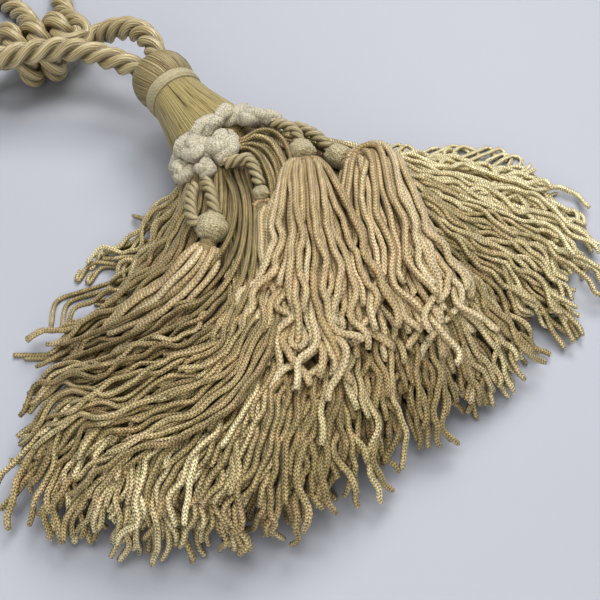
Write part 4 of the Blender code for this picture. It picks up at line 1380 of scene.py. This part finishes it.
    # lock, tassel, strands, widths at its middle and tip, curl, guide
    small: tuple[tuple[str, str, int, float, float, float, tuple[Triple, ...]], ...] = (
        ("a_left", "a", 10, 6, 12, 3, ((9.7, -54.9, 53), (-1.9, -67, 55), (-11.2, -77.5, 54),
         (-20.4, -88.9, 52), (-30.2, -98.1, 49), (-41.1, -105.8, 46), (-51, -111.5, 43),
         (-59.9, -116.4, 40))),
        ("a_middle", "a", 12, 6, 13, 2.6, ((10.6, -58.1, 55), (0.8, -74.8, 57), (-8.9, -90.7, 56),
         (-17.6, -105, 54), (-25.5, -116.8, 50), (-35, -126.9, 46), (-43.4, -135, 42),
         (-50.6, -141.9, 38))),
        ("a_right", "a", 10, 6, 12, 2.6, ((13.9, -58.6, 53), (9.5, -75, 55), (5.1, -88.9, 54),
         (0.6, -102.6, 51), (-3.6, -115.7, 48), (-8.3, -128.2, 44), (-13.6, -139.8, 40),
         (-18.4, -148.9, 36))),
        ("b_left", "b", 10, 6, 12, 2.8, ((36.6, -63.7, 50), (23.3, -77.4, 52), (13.3, -90.6, 51),
         (6.1, -103.6, 49), (-1.5, -116.5, 46), (-10.3, -128.3, 43), (-17.2, -137.6, 39),
         (-22.1, -145.6, 35))),
        ("b_middle", "b", 12, 6.5, 13, 2.8, ((41.1, -67.1, 52), (32.2, -83.8, 54),
         (24.7, -98.3, 52), (18.2, -112.1, 49), (12.2, -125.1, 45), (5.6, -137.6, 41),
         (0.1, -148, 37), (-3.4, -156, 33))),
        ("b_right", "b", 11, 6, 14, 3.2, ((45.3, -71.4, 50), (39, -89.4, 51), (33.1, -105, 49),
         (29.1, -119.9, 46), (27.7, -133.3, 41), (25.9, -145, 36), (24.6, -154.3, 31),
         (24, -161.6, 26))),
        ("a_under", "a", 13, 6, 24, 3.4, ((13.4, -54.9, 51), (5.4, -68.5, 49), (-4.7, -84.9, 48),
         (-14.8, -99.9, 47), (-26.3, -112.6, 46), (-38.7, -123.5, 45), (-50.1, -132.1, 43),
         (-59.4, -140.3, 40))),
        ("a_spread", "a", 10, 6, 22, 3.4, ((12.6, -54.4, 51), (2.4, -67.6, 50), (-7.8, -82.8, 48),
         (-17.3, -97.1, 46), (-28.4, -110.2, 45), (-40.3, -119.8, 44), (-51.6, -124.8, 42),
         (-62.3, -127, 39))),
        ("b_under", "b", 13, 6, 26, 3.4, ((43.6, -64.4, 48), (36, -79.1, 48), (28.6, -94.2, 46),
         (22, -109.5, 44), (15, -124.2, 42), (7.5, -138, 40), (1.5, -149.8, 38),
         (-3.7, -160.7, 35))),
        ("c_all", "c", 20, 8, 13, 2.6, ((-53.6, -73, 45), (-63.4, -75.3, 41), (-76.4, -73.1, 33),
         (-91.3, -70, 23), (-104.5, -66.8, 14))),
        ("d_all", "d", 9, 3.5, 6, 2.2, ((-10.8, -63.1, 46), (-17.5, -69.4, 47),
         (-23.4, -77.6, 47), (-27.8, -87.9, 46), (-32.7, -98.1, 45), (-39.1, -106.9, 43),
         (-47.9, -113.7, 41))))

    def root(self, turn: float, depth: float = 0.0) -> list[Triple]:
        """Return the first two points of a lock that leaves the head at a turn from its top.

        Args:
            turn: degrees from the top of the head.
            depth: how far under the outer strands the lock starts.
        """
        a = math.radians(turn)
        return [tuple(DATUM.head_point(s, r * math.sin(a), (r - depth) * math.cos(a)))
                for s, r in ((self.ring_s - 3.0, self.ring_r - 2.0),
                             (self.ring_s + 4.0, self.ring_r + 1.0))]

    def under_layer(self, rng: np.random.Generator, spacing: float) -> list[Strand]:
        """Lay the skirt's hidden lower strands as an even fan that reaches its edge."""
        out = []
        centre = DATUM.head_point(self.hub_s)
        bearings, reaches = zip(*self.edge)
        for rise, share, count, first, last in self.under:
            for i in range(count):
                bearing = first + (last - first) * i / (count - 1) + rng.normal(0, 0.8)
                reach = float(np.interp(bearing, bearings, reaches)) * share * rng.uniform(0.9, 1.0)
                a = math.radians(bearing)
                turn = math.copysign(180, bearing) - 90 * bearing / self.fan_half * self.fan_wrap
                guide = self.root(turn)
                guide += [(centre.x + math.sin(a) * reach * t, centre.y - math.cos(a) * reach * t,
                           height + rise) for t, height in self.descent]
                piece = "skirt_under_left" if bearing < -3 else "skirt_under_right"
                # hidden strands take a darker tone as painted shade, and a lighter one towards the
                # right as painted light
                lock = Lock(piece, 1, guide, root=0, middle=0, tip=0, rise=0, curl=3.6, short=0.12,
                            tone=self.painted_shade_tone + 0.5 * max(0.0, bearing - 30) / 40)
                out.extend(lock.strands(rng, spacing))
        return out

    def over_layer(self, rng: np.random.Generator, spacing: float) -> list[Strand]:
        """Lay the skirt's locks in sight, and those that fall over its front edge."""
        out = []
        for name, piece, turn, count, middle, tip, curl, tone, guide in self.locks:
            right = piece == "skirt_right"
            full = right or name in ("front_drop", "front_fall")
            depth = 12.0 if name.startswith("front") else 0.0
            lock = Lock(piece, count, [*self.root(turn, depth), *guide], middle=middle, tip=tip,
                        curl=curl, tone=tone, yarn=Yarn.FULL if full else Yarn.KHAKI,
                        wave=1.5 if right else 1.0, short=0.2 if right else 0.34)
            out.extend(lock.strands(rng, spacing))
        for piece, turn, tone, guide in self.falls:
            lock = Lock(piece, self.fall_count, [*self.root(turn, 9.0), *guide], root=3, middle=9,
                        tip=15, rise=3.5, curl=3.2, short=0.22, tone=tone, mottle=0.11,
                        yarn=Yarn.FULL, stray=19.0)
            out.extend(lock.strands(rng, spacing))
        return out

    def front_bands(self, rng: np.random.Generator, spacing: float) -> list[Strand]:
        """Lay the held strands between two routes: the arcs under the knobs, and the drops."""
        out = []
        for count, inner, outer in ((self.arc_count, self.arc_inner, self.arc_outer),
                                    (self.drop_count, self.drop_inner, self.drop_outer)):
            for i in range(count):
                f = i / (count - 1)
                route = [tuple(Vector(p).lerp(Vector(q), f)) for p, q in zip(inner, outer)]
                line = smooth_route(route, spacing)
                line[:, 2] += 0.9 * (-1) ** i + rng.normal(0, 0.3)
                run = np.arange(len(line)) * spacing
                side = rng.normal(0, 0.5) * np.sin(TAU * run / rng.uniform(30, 50))
                line[:, :2] += side[:, None]
                # held strands take the darker tone painted as shade
                tone = float(np.clip(self.painted_shade_tone + rng.normal(0, 0.12), 0, 1))
                out.append(Strand(line, Yarn.KHAKI, tone, "skirt_front", True))
        return out

    def lay(self, rng: np.random.Generator, spacing: float) -> list[Strand]:
        """Lay every strand of the skirts."""
        out = self.under_layer(rng, spacing) + self.over_layer(rng, spacing)
        out += self.front_bands(rng, spacing)
        for piece, tone, guide in self.strays:
            for dx, dy in ((0.0, 0.0), (3.5, -4.0)):
                route = [(x + dx, y + dy, z) for x, y, z in guide]
                out.append(Strand(smooth_route(route, spacing), Yarn.KHAKI, tone, piece))
        for name, tag, count, middle, tip, curl, guide in self.small:
            tangled = name in ("a_under", "a_spread", "b_under")
            lock = Lock(f"tassel_{tag}_strands", count, [NECKS[tag][:3], *guide], root=4.6,
                        middle=middle, tip=tip, rise=4.5, curl=curl * 1.35, short=0.3, tone=0.55,
                        yarn=Yarn.CREAM, stray=85.0 if tangled else 50.0, swell=0.1)
            out.extend(lock.strands(rng, spacing))
        return out

    def add_strand(self, tubes: TubeSet, strand: Strand) -> None:
        """Add a settled strand as a tube, a little flat, turning slowly and thin at its end."""
        angle = TAU * np.arange(self.sides) / self.sides
        radius = strand.yarn.value / 2
        line = smooth_route(strand.points, self.ring_step)
        line = line[np.cumsum(line[:, 0] < self.left_end) == 0]
        line[:, 2] = np.maximum(line[:, 2], radius)
        run = np.arange(len(line)) * self.ring_step
        turn = angle[None, :] + run[:, None] * 0.05 * (strand.tone - 0.5) + 9 * strand.tone
        end = np.minimum(1.0, 0.85 + (run[-1] - run) * 0.05)[:, None]
        tubes.add(line, radius * (1 - 0.10 * np.cos(2 * turn)) * end, strand.tone)

    def build(self, balls: list[tuple[float, float, float, float]]) -> None:
        """Lay, settle and raise the strands, one piece for each group.

        Args:
            balls: the places and radii of what hangs on the skirt, which its strands keep clear of.
        """
        rng = np.random.default_rng(self.seed)
        pile = Pile()
        strands = self.lay(rng, pile.spacing)
        arcs = [(*p, s.yarn.value / 2) for s in strands if s.held for p in s.points[1:-3]]
        pile.settle(strands, np.array([*balls, *arcs]))
        khaki = ChainetteFinish("skirt_chainette_rayon", 0.38, specular=0.6).build()
        cream = ChainetteFinish("tassel_chainette_rayon", 0.36, specular=0.6, dark="#7A6340",
                                middle="#BEAB84", light="#E6DBBA", warm="#C29775", stitch_mm=1.6,
                                ribs=0.6, specks=0.36).build()
        for piece in sorted({s.piece for s in strands}):
            tubes = TubeSet(self.sides)
            for strand in strands:
                if strand.piece == piece:
                    self.add_strand(tubes, strand)
            if piece.startswith("tassel"):
                finish, slot, node = cream, "small_chainette", piece.replace("strands", "skirt")
            else:
                finish, slot, node = khaki, "skirt_chainette", "main_skirt"
            new_object(piece, tubes.build(piece), finish, [node])


@dataclass
class Hangers:
    """The fine cords, boucle balls and wound necks that carry the four small tassels."""

    cord_r: float = 2.9
    pitch: float = 13.0
    sides: int = 18
    step: float = 0.6
    ball_rows: int = 40
    ball_squash: float = 0.94
    neck_half: float = 3.6
    # tassel, cord, ball (x, y, z, radius)
    parts: tuple[tuple[str, tuple[Triple, ...], tuple[float, float, float, float]], ...] = (
        ("a", ((16.6, -24.6, 51.8), (20.2, -29.6, 52.8), (21.8, -35.6, 52.8), (20.4, -41.5, 52)),
         (17.6, -47.4, 51.4, 6)),
        ("b", ((26.6, -29.4, 48.2), (27.8, -35.4, 50.2), (29.6, -42, 50.4), (30.8, -49.6, 49.4)),
         (31, -55.8, 48, 5.9)),
        ("c", ((-26.8, -37.4, 50.2), (-28.8, -45.4, 51.2), (-31.2, -53.4, 50.6)),
         (-37.6, -60.8, 48.2, 7)),
        ("d", ((-15, -34.8, 51.8), (-9.6, -37.6, 53.6), (-5.8, -41.6, 53.8), (-6.4, -48.4, 53)),
         (-10.8, -57.4, 50.2, 3.8)))
    doubled: tuple[Triple, ...] = (
        (-31, -34.4, 47), (-33.6, -37.4, 47.8), (-37.4, -42.6, 48.8), (-40.8, -48.6, 49.2),
        (-42.2, -53.4, 49), (-41, -57.6, 48.6))

    def balls(self) -> list[tuple[float, float, float, float]]:
        """Return the places and radii of balls that fill the cords, the balls and the necks."""
        out = []
        for cord in [part[1] for part in self.parts] + [self.doubled]:
            out += [(*p, self.cord_r) for p in smooth_route(cord, 2.0)]
        for tag, _, ball in self.parts:
            out += [ball, NECKS[tag]]
        return [tuple(float(v) for v in b) for b in out]

    def build_cord(self, name: str, points: Sequence[Triple], finish: bpy.types.Material,
                   node: str) -> None:
        """Build one fine three-ply cord through its points."""
        line = smooth_route(points, self.step)
        run = np.arange(len(line)) * self.step
        angle = TAU * np.arange(self.sides)[None, :] / self.sides
        lobes = Rope().section(angle + TAU * run[:, None] / self.pitch)
        tubes = TubeSet(self.sides)
        tubes.add(line, self.cord_r * lobes)
        new_object(name, tubes.build(name), finish, [node])

    def ball_shape(self, radius: float) -> bmesh.types.BMesh:
        """Return a ball wound with a cord that spirals from pole to pole."""
        tall = radius * self.ball_squash
        profile = [(-tall * math.cos(math.pi * i / self.ball_rows),
                    radius * math.sin(math.pi * i / self.ball_rows))
                   for i in range(self.ball_rows + 1)]
        profile[0], profile[-1] = (profile[0][0], 0.0), (profile[-1][0], 0.0)
        lift, winds = 0.06, 2.2

        def relief(angle: float, s: float, r: float) -> float:
            """Raise the cord's spiral round the ball."""
            polar = math.acos(max(-1.0, min(1.0, s / tall)))
            return r * (1 + lift * math.cos(TAU * winds * polar / math.pi + angle))

        return spun(profile, 60, relief)

    def neck_shape(self, radius: float) -> bmesh.types.BMesh:
        """Return a short drum with eased edges."""
        half, r = self.neck_half, radius * 0.8
        return spun([(-half, 0.0), (-half, r * 0.82), (-half * 0.6, r * 0.97), (0.0, r),
                     (half * 0.6, r * 0.97), (half, r * 0.82), (half, 0.0)], 48)

    def build(self) -> None:
        """Build the cord, the ball and the neck of each small tassel."""
        cord_finish = RopeFinish("hanger_cord_rayon", 0.42, dark="#857754", middle="#AB9E7B",
                                 yarns=24.0, pitch_mm=self.pitch).build()
        ball_finish = GimpFinish("ball_gimp_knitted", 0.6, sheen=0.3, dark="#786A48",
                                 middle="#AB9F7A", light="#CFC8AF", wales=24.0).build()
        neck_finish = WoundFinish("neck_rayon_thread_bound", 0.45, dark="#504025",
                                  middle="#867452", light="#AD9E77", rounds_mm=0.6, gaps=0.3,
                                  relief=0.6).build()
        self.build_cord("tassel_c_second_leg", self.doubled, cord_finish, "tassel_c_loop")
        for tag, cord, ball in self.parts:
            centre, radius, neck = Vector(ball[:3]), ball[3], NECKS[tag]
            end = centre + (Vector(cord[-1]) - centre).normalized() * radius * 0.9
            self.build_cord(f"tassel_{tag}_hanger", [*cord[:-1], tuple(end)], cord_finish,
                            f"tassel_{tag}_cord")
            along = Vector(neck[:3]) - centre
            name = f"tassel_{tag}_gimp"
            mesh = placed(self.ball_shape(radius), name, aimed(centre, along))
            BoucleTrim().fluff(mesh, 0.45)
            new_object(name, mesh, ball_finish, [f"tassel_{tag}_ball"])
            name = f"tassel_{tag}_binding"
            mesh = placed(self.neck_shape(neck[3]), name, aimed(neck[:3], along))
            new_object(name, mesh, neck_finish, [f"tassel_{tag}_neck"])


# ---------------------------------------------------------------- studio


@dataclass
class Studio:
    """The table, the soft daylight from behind, and the camera."""

    eye: Triple = (-140.2, -271.1, 305.0)
    aim: Triple = (-8.4, -82.9, 0.0)
    lens: float = 49.45
    sensor: float = 36.0
    table_side: float = 6.0
    table_thick: float = 0.03
    room: str = "#EAEAF0"
    room_strength: float = 0.18
    # lamp, place in metres, side in metres, power in watts, colour
    lamps: tuple[tuple[str, Triple, float, float, str], ...] = (
        ("window", (0.75, 0.55, 1.2), 0.8, 11, "#FFFDFB"),
        ("ceiling", (-0.1, 0, 1.7), 1.1, 11.6, "#FFFFFF"),
        ("fill", (-0.7, -1.1, 0.7), 1, 7, "#FFFDF8"))

    def build_table(self) -> None:
        """Build the table's top as a thin bevelled slab just under the tassel."""
        bm = bmesh.new()
        size = (self.table_side, self.table_side, self.table_thick, 1)
        slab = Matrix.Translation((0, 0, -self.table_thick / 2)) @ Matrix.Diagonal(size)
        bmesh.ops.create_cube(bm, size=1.0, matrix=slab)
        bmesh.ops.bevel(bm, geom=bm.edges[:], offset=0.004, offset_type="OFFSET", affect="EDGES",
                        segments=2, profile=0.5, material=-1)
        mesh = bpy.data.meshes.new("table")
        bm.to_mesh(mesh)
        bm.free()
        mesh.materials.append(TableFinish().build())
        table = bpy.data.objects.new("table", mesh)
        bpy.context.scene.collection.objects.link(table)

    def build_lights(self) -> None:
        """Hang the lamps and set the room's soft light."""
        for name, place, side, power, colour in self.lamps:
            data = bpy.data.lights.new(name, "AREA")
            data.shape, data.size, data.energy = "SQUARE", side, power
            data.color = linear(colour)[:3]
            lamp = bpy.data.objects.new(name, data)
            lamp.location = place
            lamp.rotation_mode = "QUATERNION"
            lamp.rotation_quaternion = (-Vector(place)).to_track_quat("-Z", "Y")
            bpy.context.scene.collection.objects.link(lamp)
        world = bpy.data.worlds.new("room")
        bpy.context.scene.world = world
        world.use_nodes = True
        sky = world.node_tree.nodes["Background"]
        sky.inputs["Color"].default_value = linear(self.room)
        sky.inputs["Strength"].default_value = self.room_strength

    def build_camera(self) -> None:
        """Stand the camera."""
        data = bpy.data.cameras.new("camera")
        data.lens, data.sensor_width = self.lens, self.sensor
        data.clip_start, data.clip_end = 0.01, 20.0
        camera = bpy.data.objects.new("camera", data)
        eye, aim = Vector(DATUM.place(self.eye)), Vector(DATUM.place(self.aim))
        camera.location = eye
        camera.rotation_mode = "QUATERNION"
        camera.rotation_quaternion = (aim - eye).to_track_quat("-Z", "Y")
        bpy.context.scene.collection.objects.link(camera)
        bpy.context.scene.camera = camera

    def build(self) -> None:
        """Build the table, the lamps and the camera."""
        self.build_table()
        self.build_lights()
        self.build_camera()
        bpy.context.scene.view_settings.view_transform = "Standard"
        bpy.context.scene.view_settings.look = "High Contrast"


def main() -> None:
    """Build the studio and every piece of the tieback, in order."""
    logging.basicConfig(level=logging.INFO, format="%(name)s: %(message)s")
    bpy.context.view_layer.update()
    Studio().build()
    Rope().build()
    Head().build()
    BoucleTrim().build()
    hangers = Hangers()
    hangers.build()
    Skirts().build(hangers.balls())


if __name__ == "__main__":
    main()
